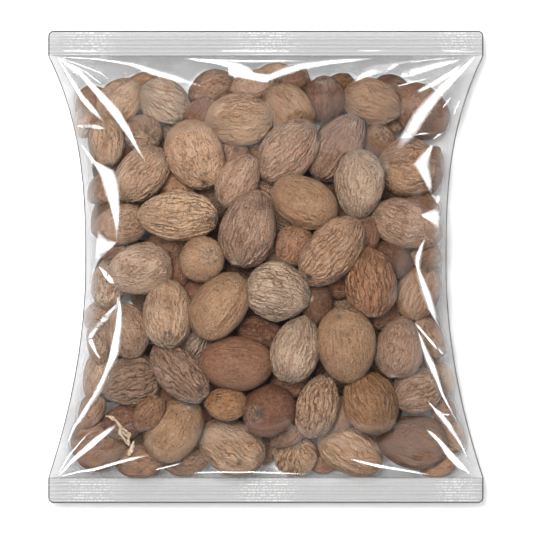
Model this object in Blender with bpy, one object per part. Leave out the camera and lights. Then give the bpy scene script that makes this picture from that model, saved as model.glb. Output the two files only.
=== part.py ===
"""A sealed clear pillow bag full of whole nutmegs, lying on its back with its front up.

The bag is one tube of film closed by a crimped seal at each end, so it is one solid here, out to the
film: a front sheet and a back sheet that share their border. +X runs across the bag, +Y towards its
top seal, +Z out of its front. The origin is on the table, under the middle of the bag.
"""

import math
import random

import bmesh
import bpy

# Driving dimensions, in metres.
SEAL_WIDTH = 0.1494
WAIST_WIDTH = 0.1236
POUCH_LENGTH = 0.1454
SEAL_DEPTH = 0.0084
FILL_HEIGHT = 0.0480
SEAL_HEIGHT = 0.0105
SIDE_HEIGHT = 0.0195
SIDE_SHOULDER = 2.2
FILM_STEP = 0.0007

# How the flat tube draws in at the waist as it fills: the nutmegs have settled towards the bottom.
WAIST_POWER_AT_TOP = 2.8
WAIST_POWER_AT_BOTTOM = 1.9

# The front stands up from the two seals and from the side edges.
FRONT_SHOULDER = 3.0
FRONT_ROUNDNESS = 0.55
RISE_SHOULDER_AT_TOP = 2.2
RISE_ROUNDNESS_AT_TOP = 0.80
RISE_SHOULDER_AT_BOTTOM = 2.0
RISE_ROUNDNESS_AT_BOTTOM = 0.55

# The back sags onto the table and is flat where it rests.
BACK_DEPTH = 0.0300
BACK_SHOULDER = 2.6
BACK_ROUNDNESS = 0.50
SAG_SHOULDER = 2.4
SAG_ROUNDNESS = 0.50

# The corners of both seals curl up a little.
SEAL_CURL = 0.0020
CURL_SHOULDER_UP = 4
CURL_SHOULDER_ACROSS = 3

# Nutmegs pressing on the front, in staggered rows.
NUTMEG_PITCH = 0.0205
NUTMEG_ROW_PITCH = 0.0185
NUTMEG_JITTER = 0.0028
NUTMEG_PRESS = 0.0016
NUTMEG_PRESS_RADIUS = 0.0075
NUTMEG_MARGIN = 0.0123

# Folds that fan out of the four corners, and puckers along the two side edges.
FOLDS_PER_CORNER = 3
FOLD_HEIGHT = 0.0016
FOLD_REACH = 0.0191
PUCKERS_PER_SIDE = 9
PUCKER_HEIGHT = 0.0007
PUCKER_SHOULDER = 6
PUCKER_OFFSET = 2.0

# Crimp ribs across each seal, and the seal's rounded corners.
RIBS_PER_SEAL = 6
RIB_HEIGHT = 0.00022
SEAL_CORNER_RADIUS = 0.0011

# Mesh density: squares across, and along the pouch and each seal, and how much they crowd to the edges.
COLUMNS = 36
POUCH_ROWS = 40
COLUMN_CROWDING = 0.5
ROW_CROWDING = 0.4
SHARP_ANGLE = math.radians(40)
SEAL_ROWS = 2 * RIBS_PER_SEAL
ROWS = POUCH_ROWS + 2 * SEAL_ROWS

HALF_POUCH = POUCH_LENGTH / 2
HALF_LENGTH = HALF_POUCH + SEAL_DEPTH


def clear_scene():
    for obj in list(bpy.data.objects):
        bpy.data.objects.remove(obj, do_unlink=True)


def share_of_pouch(y):
    """0 at the waist, 1 at the seals."""
    return min(abs(y) / HALF_POUCH, 1.0)


def half_width(y):
    """The outline's distance from the middle: widest at the seals, drawn in at the waist."""
    power = WAIST_POWER_AT_TOP if y > 0 else WAIST_POWER_AT_BOTTOM
    width = (WAIST_WIDTH + (SEAL_WIDTH - WAIST_WIDTH) * share_of_pouch(y) ** power) / 2
    past_corner = abs(y) - (HALF_LENGTH - SEAL_CORNER_RADIUS)
    if past_corner > 0:
        reach = math.sqrt(max(SEAL_CORNER_RADIUS**2 - past_corner**2, 0.0))
        width -= SEAL_CORNER_RADIUS - reach
    return width


def edge_height(y):
    """The height of the two side edges, where front and back meet."""
    return SEAL_HEIGHT + (SIDE_HEIGHT - SEAL_HEIGHT) * (1 - share_of_pouch(y) ** SIDE_SHOULDER)


def dome(share, shoulder, roundness):
    """From 1 at the middle to 0 at the edge: flat-topped, and steep at the edge."""
    return max(1 - abs(share) ** shoulder, 0.0) ** roundness


def pressing_nutmegs():
    """Where the nutmegs under the front sheet press on it."""
    rng = random.Random(11)
    places = []
    rows = int(POUCH_LENGTH / NUTMEG_ROW_PITCH)
    for row in range(rows):
        y = (row - (rows - 1) / 2) * NUTMEG_ROW_PITCH
        reach = half_width(y) - NUTMEG_MARGIN
        first = -reach + (NUTMEG_PITCH / 2 if row % 2 else 0.0)
        count = int((reach - first) / NUTMEG_PITCH) + 1
        for step in range(count):
            x = first + step * NUTMEG_PITCH + rng.uniform(-1, 1) * NUTMEG_JITTER
            places.append((x, y + rng.uniform(-1, 1) * NUTMEG_JITTER))
    return places


def press_height(x, y, nutmegs):
    """How far the nearest nutmegs lift the film between them."""
    lift = 0.0
    for nut_x, nut_y in nutmegs:
        distance = ((x - nut_x) ** 2 + (y - nut_y) ** 2) / NUTMEG_PRESS_RADIUS**2
        lift += math.exp(-distance)
    return NUTMEG_PRESS * min(lift, 1.0)


def fold_height(x, y):
    """The fan of folds round the nearest corner of the pouch."""
    from_side = SEAL_WIDTH / 2 - abs(x)
    from_seal = HALF_POUCH - abs(y)
    turn = math.atan2(from_seal, max(from_side, 0.0))
    nearness = math.hypot(from_side, from_seal) / FOLD_REACH
    strength = nearness * math.exp(1 - nearness)
    return FOLD_HEIGHT * strength * math.sin(4 * FOLDS_PER_CORNER * turn)


def pucker_height(across, y):
    """The gathers of the side edges, which are shorter than the film between them."""
    turn = 2 * math.pi * PUCKERS_PER_SIDE * y / POUCH_LENGTH + PUCKER_OFFSET * math.copysign(1, across)
    return PUCKER_HEIGHT * math.sin(turn) * abs(across) ** PUCKER_SHOULDER


def rib_height(y):
    """The crimped wave of a seal, which both sheets follow."""
    into_seal = (abs(y) - HALF_POUCH) / SEAL_DEPTH
    if not 0 < into_seal < 1:
        return 0.0
    return RIB_HEIGHT * math.cos(2 * math.pi * RIBS_PER_SEAL * into_seal)


def film_height(across, y):
    """The line that both sheets start from: the side edges, the curled seals and their ribs."""
    curl = SEAL_CURL * share_of_pouch(y) ** CURL_SHOULDER_UP * abs(across) ** CURL_SHOULDER_ACROSS
    return edge_height(y) + curl + rib_height(y)


def front_height(across, x, y, nutmegs):
    """The front sheet: the swell of the filling, the nutmegs under it, and the folds."""
    if y > 0:
        swell = dome(share_of_pouch(y), RISE_SHOULDER_AT_TOP, RISE_ROUNDNESS_AT_TOP)
    else:
        swell = dome(share_of_pouch(y), RISE_SHOULDER_AT_BOTTOM, RISE_ROUNDNESS_AT_BOTTOM)
    rise = SEAL_HEIGHT + (FILL_HEIGHT - SEAL_HEIGHT) * swell - edge_height(y)
    hump = dome(across, FRONT_SHOULDER, FRONT_ROUNDNESS)
    height = film_height(across, y) + max(rise, 0.0) * hump
    relief = press_height(x, y, nutmegs) - NUTMEG_PRESS + fold_height(x, y)
    height += math.sqrt(hump * swell) * (relief + pucker_height(across, y))
    return height + FILM_STEP / 2


def back_height(across, y):
    """The back sheet, down to the table."""
    sag = dome(share_of_pouch(y), SAG_SHOULDER, SAG_ROUNDNESS) * dome(across, BACK_SHOULDER, BACK_ROUNDNESS)
    return max(film_height(across, y) - BACK_DEPTH * sag - FILM_STEP / 2, 0.0)


def crowded(even, crowding):
    """An even share from -1 to 1, moved towards the nearer end."""
    return (1 - crowding) * even + crowding * math.sin(math.pi / 2 * even)


def row_place(row):
    """The row's place along the bag, from the bottom seal's outer edge to the top seal's."""
    if row < SEAL_ROWS:
        return -HALF_LENGTH + SEAL_DEPTH * row / SEAL_ROWS
    if row > SEAL_ROWS + POUCH_ROWS:
        return HALF_POUCH + SEAL_DEPTH * (row - SEAL_ROWS - POUCH_ROWS) / SEAL_ROWS
    even = 2 * (row - SEAL_ROWS) / POUCH_ROWS - 1
    return HALF_POUCH * crowded(even, ROW_CROWDING)


def column_place(column):
    """The column's share of the half width, closer together towards the side edges."""
    even = 2 * column / COLUMNS - 1
    return crowded(even, COLUMN_CROWDING)


def add_sheet(bm, height_of, faces_up):
    """A grid of the bag's outline at the height of one sheet."""
    made = bmesh.ops.create_grid(bm, x_segments=COLUMNS, y_segments=ROWS, size=1.0)
    for vert in made["verts"]:
        across = column_place(round((vert.co.x + 1) / 2 * COLUMNS))
        y = row_place(round((vert.co.y + 1) / 2 * ROWS))
        x = across * half_width(y)
        vert.co = (x, y, height_of(across, x, y))
    if not faces_up:
        faces = list({face for vert in made["verts"] for face in vert.link_faces})
        bmesh.ops.reverse_faces(bm, faces=faces)


def build_bag():
    """Front sheet and back sheet, joined all round by the film's edge."""
    nutmegs = pressing_nutmegs()
    bm = bmesh.new()
    add_sheet(bm, lambda across, x, y: front_height(across, x, y, nutmegs), faces_up=True)
    add_sheet(bm, lambda across, x, y: back_height(across, y), faces_up=False)
    border = [edge for edge in bm.edges if edge.is_boundary]
    bmesh.ops.bridge_loops(bm, edges=border)
    bmesh.ops.recalc_face_normals(bm, faces=bm.faces[:])
    mesh = bpy.data.meshes.new("nutmeg_bag")
    bm.to_mesh(mesh)
    bm.free()
    mesh.shade_smooth()
    mesh.set_sharp_from_angle(angle=SHARP_ANGLE)
    return mesh


def film_over_nutmegs():
    """Clear glossy film with brown nutmegs close behind it."""
    material = bpy.data.materials.new("film_over_nutmegs")
    material.use_nodes = True
    shader = material.node_tree.nodes["Principled BSDF"]
    shader.inputs["Base Color"].default_value = (0.42, 0.27, 0.17, 1.0)
    shader.inputs["Roughness"].default_value = 0.25
    shader.inputs["Metallic"].default_value = 0.0
    return material


clear_scene()
bag = bpy.data.objects.new("nutmeg_bag", build_bag())
bag.data.materials.append(film_over_nutmegs())
bpy.context.scene.collection.objects.link(bag)
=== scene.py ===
"""The looks of a sealed clear pillow bag full of whole nutmegs, lying on its back.

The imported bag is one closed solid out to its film. Here it is replaced by the film itself, front and
back, with its crimped seals, folds and edges, and by the nutmegs that fill it. Lengths are in
millimetres until a mesh is made. +X runs across the bag, +Y towards its top seal, +Z out of its front.
"""

import math

import bpy
import numpy as np
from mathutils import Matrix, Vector
from mathutils.bvhtree import BVHTree


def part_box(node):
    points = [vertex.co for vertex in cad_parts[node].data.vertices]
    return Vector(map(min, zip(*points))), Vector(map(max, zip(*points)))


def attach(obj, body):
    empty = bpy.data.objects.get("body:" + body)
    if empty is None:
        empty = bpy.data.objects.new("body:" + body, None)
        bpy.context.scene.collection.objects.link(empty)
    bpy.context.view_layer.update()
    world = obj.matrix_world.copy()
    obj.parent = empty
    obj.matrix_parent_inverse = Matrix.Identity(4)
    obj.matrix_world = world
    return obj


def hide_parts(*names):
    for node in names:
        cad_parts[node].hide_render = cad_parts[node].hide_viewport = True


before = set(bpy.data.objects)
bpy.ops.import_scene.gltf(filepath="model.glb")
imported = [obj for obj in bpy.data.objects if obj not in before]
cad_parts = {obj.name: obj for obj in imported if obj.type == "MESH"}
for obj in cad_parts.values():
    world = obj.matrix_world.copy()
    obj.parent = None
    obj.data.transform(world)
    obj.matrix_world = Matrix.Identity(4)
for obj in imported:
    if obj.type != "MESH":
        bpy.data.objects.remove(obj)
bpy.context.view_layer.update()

MM = 0.001
BAG = "nutmeg_bag"

# The bag's own measures, read from the frame.
HIGH = np.array(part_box(BAG)[1]) / MM
HALF_LENGTH = HIGH[1]
SEAL_DEPTH = 8.4
HALF_POUCH = HALF_LENGTH - SEAL_DEPTH
SEAL_HEIGHT = 10.5

# Colours of shelled nutmegs, as sRGB shares of 255.
TONES = {
    "cream": (220, 184, 149),
    "straw": (210, 173, 139),
    "bone": (205, 181, 156),
    "ash": (197, 170, 145),
    "sand": (196, 163, 133),
    "rose": (186, 155, 131),
    "wheat": (191, 154, 122),
    "taupe": (180, 148, 123),
    "tan": (182, 143, 112),
    "olive": (169, 138, 115),
    "honey": (168, 130, 104),
    "amber": (178, 130, 96),
    "gold": (174, 131, 91),
    "umber": (155, 119, 94),
    "bark": (147, 108, 76),
    "fawn": (173, 137, 104),
    "ochre": (163, 123, 86),
    "russet": (150, 107, 79),
    "rust": (150, 108, 82),
    "brick": (141, 102, 79),
    "chestnut": (135, 91, 67),
    "cocoa": (126, 90, 70),
    # The darkest tone, given to two small nutmegs deep in the gaps: partly their own dark colour, partly
    # painted shade.
    "coffee": (110, 78, 58),
}

# The share of those colours that the shells themselves have: the lamps are bright.
SHELL_SHADE = np.array([0.84, 0.86, 0.875])

# The nutmegs that lie against the front film: across, up, length, breadth, the way the scar end
# points, how far that end leans to the front (degrees), depth under the film, finish and colour.
FRONT_NUTMEGS = [
    (-50.2, 57.4, 17.5, 14.6, 50, 0, 3, "netted", "sand"),
    (-34.4, 56.4, 19.0, 16.6, 150, 18, 1, "furrowed", "bone"),
    (-43.4, 61.0, 15.0, 12.0, 30, 0, 8, "smooth", "tan"),
    (-18.7, 60.8, 17.0, 13.6, 20, 0, 3, "mottled", "olive"),
    (-22.6, 51.2, 16.0, 12.0, 60, 0, 9, "smooth", "brick"),
    (-4.0, 62.6, 15.0, 10.5, 12, 0, 5, "smooth", "rose"),
    (3.0, 64.5, 15.0, 11.5, 20, 0, 10, "smooth", "sand"),
    (7.6, 63.4, 14.5, 10.5, 20, 0, 6, "mottled", "brick"),
    (7.8, 54.0, 20.5, 16.6, 128, 0, 5, "mottled", "fawn"),
    (-8.4, 50.6, 23.6, 18.6, 0, 6, 1, "furrowed", "straw"),
    (20.0, 57.4, 16.5, 14.2, 95, 30, 3, "mottled", "cocoa"),
    (25.0, 60.6, 13.5, 11.5, 40, 0, 8, "mottled", "bark"),
    (37.0, 56.6, 20.5, 16.8, -22, 4, 1, "ribbed", "fawn"),
    (44.0, 61.8, 12.0, 9.0, -20, 0, 8, "smooth", "cocoa"),
    (52.8, 54.0, 21.5, 18.0, -50, 0, 3, "mottled", "umber"),
    (-60.2, 55.6, 14.0, 10.5, 70, 0, 5, "smooth", "umber"),
    (-62.0, 50.0, 10.5, 8.0, 80, 0, 4, "netted", "rose"),
    (-54.8, 42.8, 17.8, 12.8, -88, 8, 2, "ribbed", "sand"),
    (-41.8, 45.8, 14.5, 13.2, -30, 60, 6, "mottled", "taupe"),
    (-24.3, 38.1, 25.0, 20.2, -65, 8, 0, "netted", "straw"),
    (-42.6, 31.6, 22.6, 16.6, 46, 12, 1, "ribbed", "sand"),
    (-30.5, 28.6, 14.0, 11.0, -30, 0, 7, "mottled", "tan"),
    (7.8, 40.4, 26.0, 18.6, 50, 10, 0, "ribbed", "rose"),
    (24.4, 41.0, 26.5, 16.6, 56, 8, 4, "furrowed", "olive"),
    (31.8, 28.2, 23.6, 17.4, 88, 10, 0, "ribbed", "ash"),
    (49.2, 34.3, 21.6, 20.4, 178, 10, 3, "furrowed", "wheat"),
    (57.2, 33.5, 17.0, 8.6, 88, 0, 6, "netted", "straw"),
    (38.6, 43.2, 14.0, 12.0, 60, 60, 14, "smooth", "umber"),
    (40.6, 48.6, 13.0, 10.0, 10, 0, 13, "smooth", "olive"),
    (-12.0, 38.0, 14.0, 12.0, 70, 0, 15, "smooth", "olive"),
    (-4.6, 38.8, 14.0, 11.0, 0, 0, 15, "smooth", "tan"),
    (-9.2, 29.6, 20.0, 14.2, 62, 0, 3, "smooth", "rose"),
    (-30.4, 17.4, 27.6, 17.6, -3, 6, 0, "furrowed", "cream"),
    (-49.6, 14.4, 19.0, 14.6, 12, 0, 4, "netted", "taupe"),
    (-55.4, 26.6, 13.0, 10.4, 40, 0, 4, "mottled", "olive"),
    (-6.2, 13.3, 27.0, 19.4, -104, 6, 0, "furrowed", "taupe"),
    (13.4, 21.9, 24.2, 17.0, 152, 0, 0, "smooth", "fawn"),
    (-22.1, 2.3, 21.0, 15.6, 20, 68, 1, "smooth", "wheat"),
    (-43.2, -1.8, 22.6, 18.4, 12, 4, 0, "netted", "ash"),
    (-54.2, -6.0, 17.5, 11.5, 84, 0, 6, "mottled", "bone"),
    (-50.4, 5.8, 14.0, 10.5, 18, 0, 8, "netted", "honey"),
    (-34.0, 6.6, 15.0, 12.0, 10, 0, 15, "smooth", "umber"),
    (-31.0, -1.6, 14.0, 11.0, 80, 0, 14, "smooth", "brick"),
    (47.8, 14.1, 25.6, 17.0, 160, 6, 1, "netted", "taupe"),
    (53.6, 21.4, 13.0, 9.5, -30, 0, 6, "smooth", "bark"),
    (34.4, 11.4, 13.0, 11.5, 88, 0, 9, "smooth", "brick"),
    (44.0, 2.2, 15.5, 12.0, -40, 0, 7, "smooth", "coffee"),
    (54.8, 3.6, 11.5, 9.0, 20, 0, 6, "smooth", "olive"),
    (9.6, 7.0, 15.8, 13.4, 62, 0, 8, "mottled", "honey"),
    (1.0, 4.2, 13.0, 11.0, 20, 0, 14, "smooth", "olive"),
    (22.2, 5.4, 28.4, 17.6, -132, 8, 0, "furrowed", "wheat"),
    (35.4, -5.4, 24.0, 18.2, -84, 8, 0, "grooved", "amber"),
    (52.3, -8.7, 19.6, 14.9, 66, 12, 2, "ribbed", "wheat"),
    (23.6, -6.4, 14.0, 11.0, 10, 0, 13, "mottled", "brick"),
    (25.0, -12.4, 13.0, 11.0, -20, 0, 14, "netted", "taupe"),
    (17.2, -12.6, 13.5, 11.0, 80, 0, 7, "smooth", "coffee"),
    (4.5, -8.8, 22.6, 20.4, -12, 4, 1, "furrowed", "bone"),
    (-15.2, -13.4, 25.2, 18.6, 52, 0, 0, "smooth", "fawn"),
    (-34.2, -15.5, 25.2, 17.4, -86, 22, 1, "ribbed", "sand"),
    (-47.6, -22.0, 19.0, 15.2, -72, 0, 3, "netted", "olive"),
    (-56.8, -25.4, 16.0, 9.5, 88, 0, 4, "mottled", "ash"),
    (-57.6, -16.6, 11.0, 9.0, 60, 0, 6, "smooth", "rose"),
    (-57.4, -37.4, 18.0, 10.5, 76, 0, 4, "netted", "ash"),
    (-60.0, -49.0, 13.0, 9.5, 60, 0, 6, "netted", "olive"),
    (-22.0, -8.6, 14.0, 11.0, 30, 0, 14, "smooth", "brick"),
    (-46.8, -39.8, 21.6, 17.6, 15, 4, 1, "grooved", "olive"),
    (-29.7, -36.2, 25.4, 15.4, -47, 10, 2, "grooved", "olive"),
    (-10.2, -33.3, 25.2, 18.8, 178, 0, 0, "smooth", "russet"),
    (10.6, -28.0, 23.6, 17.4, -108, 0, 3, "ribbed", "ash"),
    (27.3, -27.0, 27.4, 20.4, 96, 22, 0, "smooth", "fawn"),
    (45.8, -27.8, 21.6, 16.8, -97, 8, 1, "netted", "olive"),
    (56.4, -24.6, 16.0, 9.5, -62, 0, 5, "netted", "taupe"),
    (52.2, -42.6, 18.4, 16.2, 24, 0, 2, "furrowed", "rose"),
    (60.6, -39.0, 12.0, 8.5, -80, 0, 5, "smooth", "ash"),
    (35.4, -47.0, 22.4, 19.0, -66, 10, 2, "ribbed", "ochre"),
    (17.9, -47.9, 22.4, 14.8, 74, 0, 3, "grooved", "sand"),
    (1.6, -49.2, 20.5, 18.2, 195, 55, 1, "smooth", "chestnut"),
    (-13.2, -46.8, 14.0, 12.2, 0, 0, 7, "mottled", "gold"),
    (-12.0, -61.8, 24.8, 18.8, -28, 4, 3, "ribbed", "sand"),
    (-32.6, -55.7, 23.8, 19.2, 52, 6, 0, "smooth", "fawn"),
    (-22.0, -50.4, 14.0, 11.0, 80, 0, 13, "smooth", "brick"),
    (-40.4, -50.2, 14.0, 10.0, 60, 0, 8, "netted", "bark"),
    (-48.4, -53.4, 14.5, 12.6, 20, 0, 6, "netted", "cocoa"),
    (-56.2, -60.4, 20.6, 19.2, 22, 4, 1, "mottled", "umber"),
    (-43.6, -66.0, 17.0, 12.0, 12, 0, 5, "mottled", "honey"),
    (-27.4, -66.0, 16.0, 11.8, 10, 0, 6, "mottled", "taupe"),
    (-35.6, -44.6, 14.0, 11.0, 0, 0, 13, "smooth", "brick"),
    (9.8, -63.8, 17.2, 15.8, 90, 58, 1, "grooved", "cream"),
    (29.1, -62.8, 24.0, 16.8, 150, 0, 1, "ribbed", "straw"),
    (51.6, -61.0, 24.6, 19.0, -8, 0, 3, "furrowed", "umber"),
    (59.0, -67.6, 13.0, 8.6, 20, 0, 6, "smooth", "tan"),
    (60.8, -49.2, 11.0, 8.6, -60, 0, 7, "smooth", "umber"),
    (62.8, -57.2, 16.0, 9.5, -62, 0, 6, "mottled", "wheat"),
    (1.0, -61.4, 14.0, 9.5, 75, 0, 13, "smooth", "olive"),
    (20.6, -66.6, 12.0, 9.0, 20, 0, 9, "smooth", "honey"),
    (-2.0, -22.8, 15.5, 12.0, -10, 0, 7, "mottled", "cocoa"),
    (7.6, -56.6, 14.0, 10.5, 40, 0, 13, "smooth", "umber"),
    (8.4, -40.0, 14.0, 11.0, 0, 0, 14, "smooth", "umber"),
    (26.6, -51.6, 14.0, 10.5, 60, 0, 14, "smooth", "olive"),
    (39.6, -16.6, 14.0, 11.0, 0, 0, 15, "smooth", "umber"),
]

# Scars and pale knots on those nutmegs: across, up, radius, and strength, below zero for dark ones.
MARKS = [
    (-39.5, 62.0, 2.4, -0.5), (-27.0, 57.0, 1.4, -0.6), (1.5, 51.0, 1.3, 0.9), (-10.0, 40.4, 1.6, -0.7),
    (18.5, 62.0, 1.3, -0.6), (45.5, 52.5, 1.3, 0.8), (-54.0, 34.5, 1.4, -0.8), (-41.0, 46.5, 1.2, -0.7),
    (-21.0, 28.6, 1.5, -0.7), (-36.0, 36.5, 1.4, 0.7), (-43.0, 32.0, 0.7, -0.8), (-46.0, 33.5, 0.7, -0.8),
    (15.5, 48.0, 1.4, -0.5), (30.0, 49.0, 1.2, 0.9), (32.5, 38.5, 1.1, -0.7), (41.5, 34.5, 1.3, 0.8),
    (-18.0, 16.0, 1.9, -0.7), (-11.0, 1.5, 1.5, 0.7), (-37.5, -3.5, 2.4, -0.4), (38.0, 18.0, 1.4, -0.6),
    (14.7, -3.7, 1.5, -0.9), (37.0, -16.5, 1.3, 0.8), (55.5, -1.3, 1.3, -0.7), (15.3, -11.0, 1.3, 0.8),
    (-33.4, -24.1, 1.8, -1.1), (-33.4, -24.1, 0.8, 1.8), (-22.0, -42.0, 1.6, -0.8), (25.0, -17.0, 1.4, -0.7),
    (28.0, -23.0, 0.9, -0.6), (43.5, -37.5, 1.2, 0.8), (40.0, -53.5, 1.0, -0.5), (38.5, -57.0, 1.2, -0.6),
    (-2.0, -50.0, 2.0, -0.9), (-9.0, -67.5, 1.4, -0.7), (-26.5, -48.5, 1.2, 0.6), (-43.0, -71.0, 1.4, -0.6),
    (10.5, -61.5, 1.3, 1.0), (-20.5, 31.5, 0.9, -0.6), (16.0, 17.5, 0.5, -0.7), (8.0, 24.5, 0.5, -0.6),
    (-28.0, 38.0, 0.6, -0.7), (22.0, -30.0, 0.6, -0.5), (-49.8, 60.5, 1.0, -0.6), (36.0, 60.0, 0.8, -0.6),
]

MARK_RELIEF = 0.35

# The nutmegs behind those, which only the back and the sides show. They lie in rows, from a share of
# the pouch below its middle to a share above it, and each is moved and tilted a little.
HIDDEN_ROWS = 7
HIDDEN_PER_ROW = 6
HIDDEN_LEVELS = (-0.80, 0.66)
HIDDEN_REACH = 0.74
HIDDEN_SHIFT = 3
HIDDEN_LEAN = 15
HIDDEN_LENGTHS = (19.0, 25.0)
HIDDEN_SLIMNESS = (0.70, 0.80)
# The hidden nutmegs' colours are darkened by this share: painted shade for the gaps they fill.
HIDDEN_PAINTED_SHADE = 0.65

# Rings and columns of a plain shell and of a ribbed one, for nutmegs down to each depth.
SHELL_DETAIL = [
    (3, (48, 76), (58, 114)),
    (5, (38, 56), (46, 86)),
    (9, (28, 42), (34, 62)),
    (20, (20, 28), (20, 28)),
]
HIDDEN_DETAIL = (24, 32)

# How each finish shapes a shell, in millimetres: groove depth, spacing and length of its ribs, share
# of the shell that carries them, depth and size of the net between them.
FINISHES = {
    "smooth": (0.10, 1.7, 7.0, 0.35, 0.05, 1.6),
    "ribbed": (0.30, 1.7, 8.0, 0.80, 0.08, 1.5),
    "netted": (0.14, 1.6, 3.0, 0.60, 0.16, 1.5),
    "furrowed": (0.36, 1.9, 9.0, 0.75, 0.12, 1.6),
    "grooved": (0.66, 2.2, 10.0, 1.00, 0.12, 1.5),
    "mottled": (0.16, 2.1, 5.0, 0.50, 0.16, 2.0),
}


# ---------------------------------------------------------------- shared numbers


def linear(shade):
    """An sRGB shade from 0 to 255 as scene light."""
    share = shade / 255
    return share / 12.92 if share <= 0.04045 else ((share + 0.055) / 1.055) ** 2.4


def linear_colour(shades):
    return tuple(linear(shade) for shade in shades)


def smoothstep(low, high, value):
    """0 up to low, 1 from high on, and a smooth climb between them."""
    share = np.clip((value - low) / (high - low), 0, 1)
    return share * share * (3 - 2 * share)


def scatter(cells, seed):
    """A repeatable whole number for each lattice cell."""
    mixed = (cells[..., 0] * 73856093) ^ (cells[..., 1] * 19349663) ^ (cells[..., 2] * 83492791)
    mixed = (mixed ^ (seed * 40503 + 977)) & 0x7FFFFFFF
    mixed = ((mixed >> 15) ^ mixed) * 0x2C1B3C6D & 0x7FFFFFFF
    return ((mixed >> 12) ^ mixed) & 0x7FFFFFFF


SLOPES = np.array(
    [(x, y, z) for x in (-1, 0, 1) for y in (-1, 0, 1) for z in (-1, 0, 1) if abs(x) + abs(y) + abs(z) == 2],
    dtype=float,
)


def noise(places, seed=0):
    """Smooth gradient noise from about -1 to 1 at an array of places."""
    cells = np.floor(places).astype(np.int64)
    inside = places - cells
    ease = inside**3 * (inside * (inside * 6 - 15) + 10)
    total = np.zeros(places.shape[:-1])
    for corner in range(8):
        step = np.array([corner & 1, corner >> 1 & 1, corner >> 2 & 1])
        slopes = SLOPES[scatter(cells + step, seed) % len(SLOPES)]
        weight = np.prod(np.where(step == 1, ease, 1 - ease), axis=-1)
        total += weight * np.sum(slopes * (inside - step), axis=-1)
    return total


def between_cells(grid, column, row):
    """The grid read at places between its columns and rows."""
    column = np.clip(column, 0, grid.shape[1] - 1.001)
    row = np.clip(row, 0, grid.shape[0] - 1.001)
    left, low = column.astype(int), row.astype(int)
    across, up = column - left, row - low
    lower = grid[low, left] * (1 - across) + grid[low, left + 1] * across
    upper = grid[low + 1, left] * (1 - across) + grid[low + 1, left + 1] * across
    return lower * (1 - up) + upper * up


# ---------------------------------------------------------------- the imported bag's surface


class Heights:
    """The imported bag's front and back, sampled on a grid so that many places can be read at once."""

    STEP = 1.0
    EDGE_MARGIN = 0.05
    CLEAR_OF_BAG = 5
    NARROWEST = 0.35

    def __init__(self, node):
        mesh = node.data
        places = [node.matrix_world @ vertex.co for vertex in mesh.vertices]
        tree = BVHTree.FromPolygons(places, [tuple(face.vertices) for face in mesh.polygons])
        corners = np.array(places) / MM
        self.outline_y, self.outline_x, self.outline_z = self.read_outline(corners)
        self.xs = np.arange(-HIGH[0], HIGH[0] + self.STEP, self.STEP)
        self.ys = np.arange(-HALF_LENGTH, HALF_LENGTH + self.STEP, self.STEP)
        self.front_grid = self.read_sheet(tree, HIGH[2] + self.CLEAR_OF_BAG, -1)
        self.back_grid = self.read_sheet(tree, -self.CLEAR_OF_BAG, 1)

    def read_outline(self, corners):
        """The right-hand edge's place for each row of the bag."""
        rows = np.round(corners[:, 1], 2)
        found = []
        for y in np.unique(rows):
            row = corners[rows == y]
            edge = row[row[:, 0] > row[:, 0].max() - 0.01]
            found.append((y, row[:, 0].max(), edge[:, 2].mean()))
        widest = {}
        for y, x, z in found:
            if x > self.NARROWEST * HIGH[0]:
                widest[y] = (x, z)
        ys = np.array(sorted(widest))
        return ys, np.array([widest[y][0] for y in ys]), np.array([widest[y][1] for y in ys])

    def read_sheet(self, tree, start, way):
        """One sheet's height over the grid, by rays from outside the bag."""
        grid = np.empty((len(self.ys), len(self.xs)))
        for row, y in enumerate(self.ys):
            width = float(self.half_width(y)) - self.EDGE_MARGIN
            for column, x in enumerate(self.xs):
                inside = min(max(x, -width), width)
                level = min(max(y, -HALF_LENGTH + self.EDGE_MARGIN), HALF_LENGTH - self.EDGE_MARGIN)
                origin = Vector((inside * MM, level * MM, start * MM))
                hit = tree.ray_cast(origin, Vector((0, 0, way)))[0]
                grid[row, column] = hit.z / MM if hit else SEAL_HEIGHT
        return grid

    def half_width(self, y):
        return np.interp(y, self.outline_y, self.outline_x)

    def edge(self, y):
        return np.interp(y, self.outline_y, self.outline_z)

    def read(self, grid, x, y):
        return between_cells(grid, (x - self.xs[0]) / self.STEP, (y - self.ys[0]) / self.STEP)

    def front(self, x, y):
        return self.read(self.front_grid, x, y)

    def back(self, x, y):
        return self.read(self.back_grid, x, y)


heights = Heights(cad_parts[BAG])


# ---------------------------------------------------------------- packing the nutmegs


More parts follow.
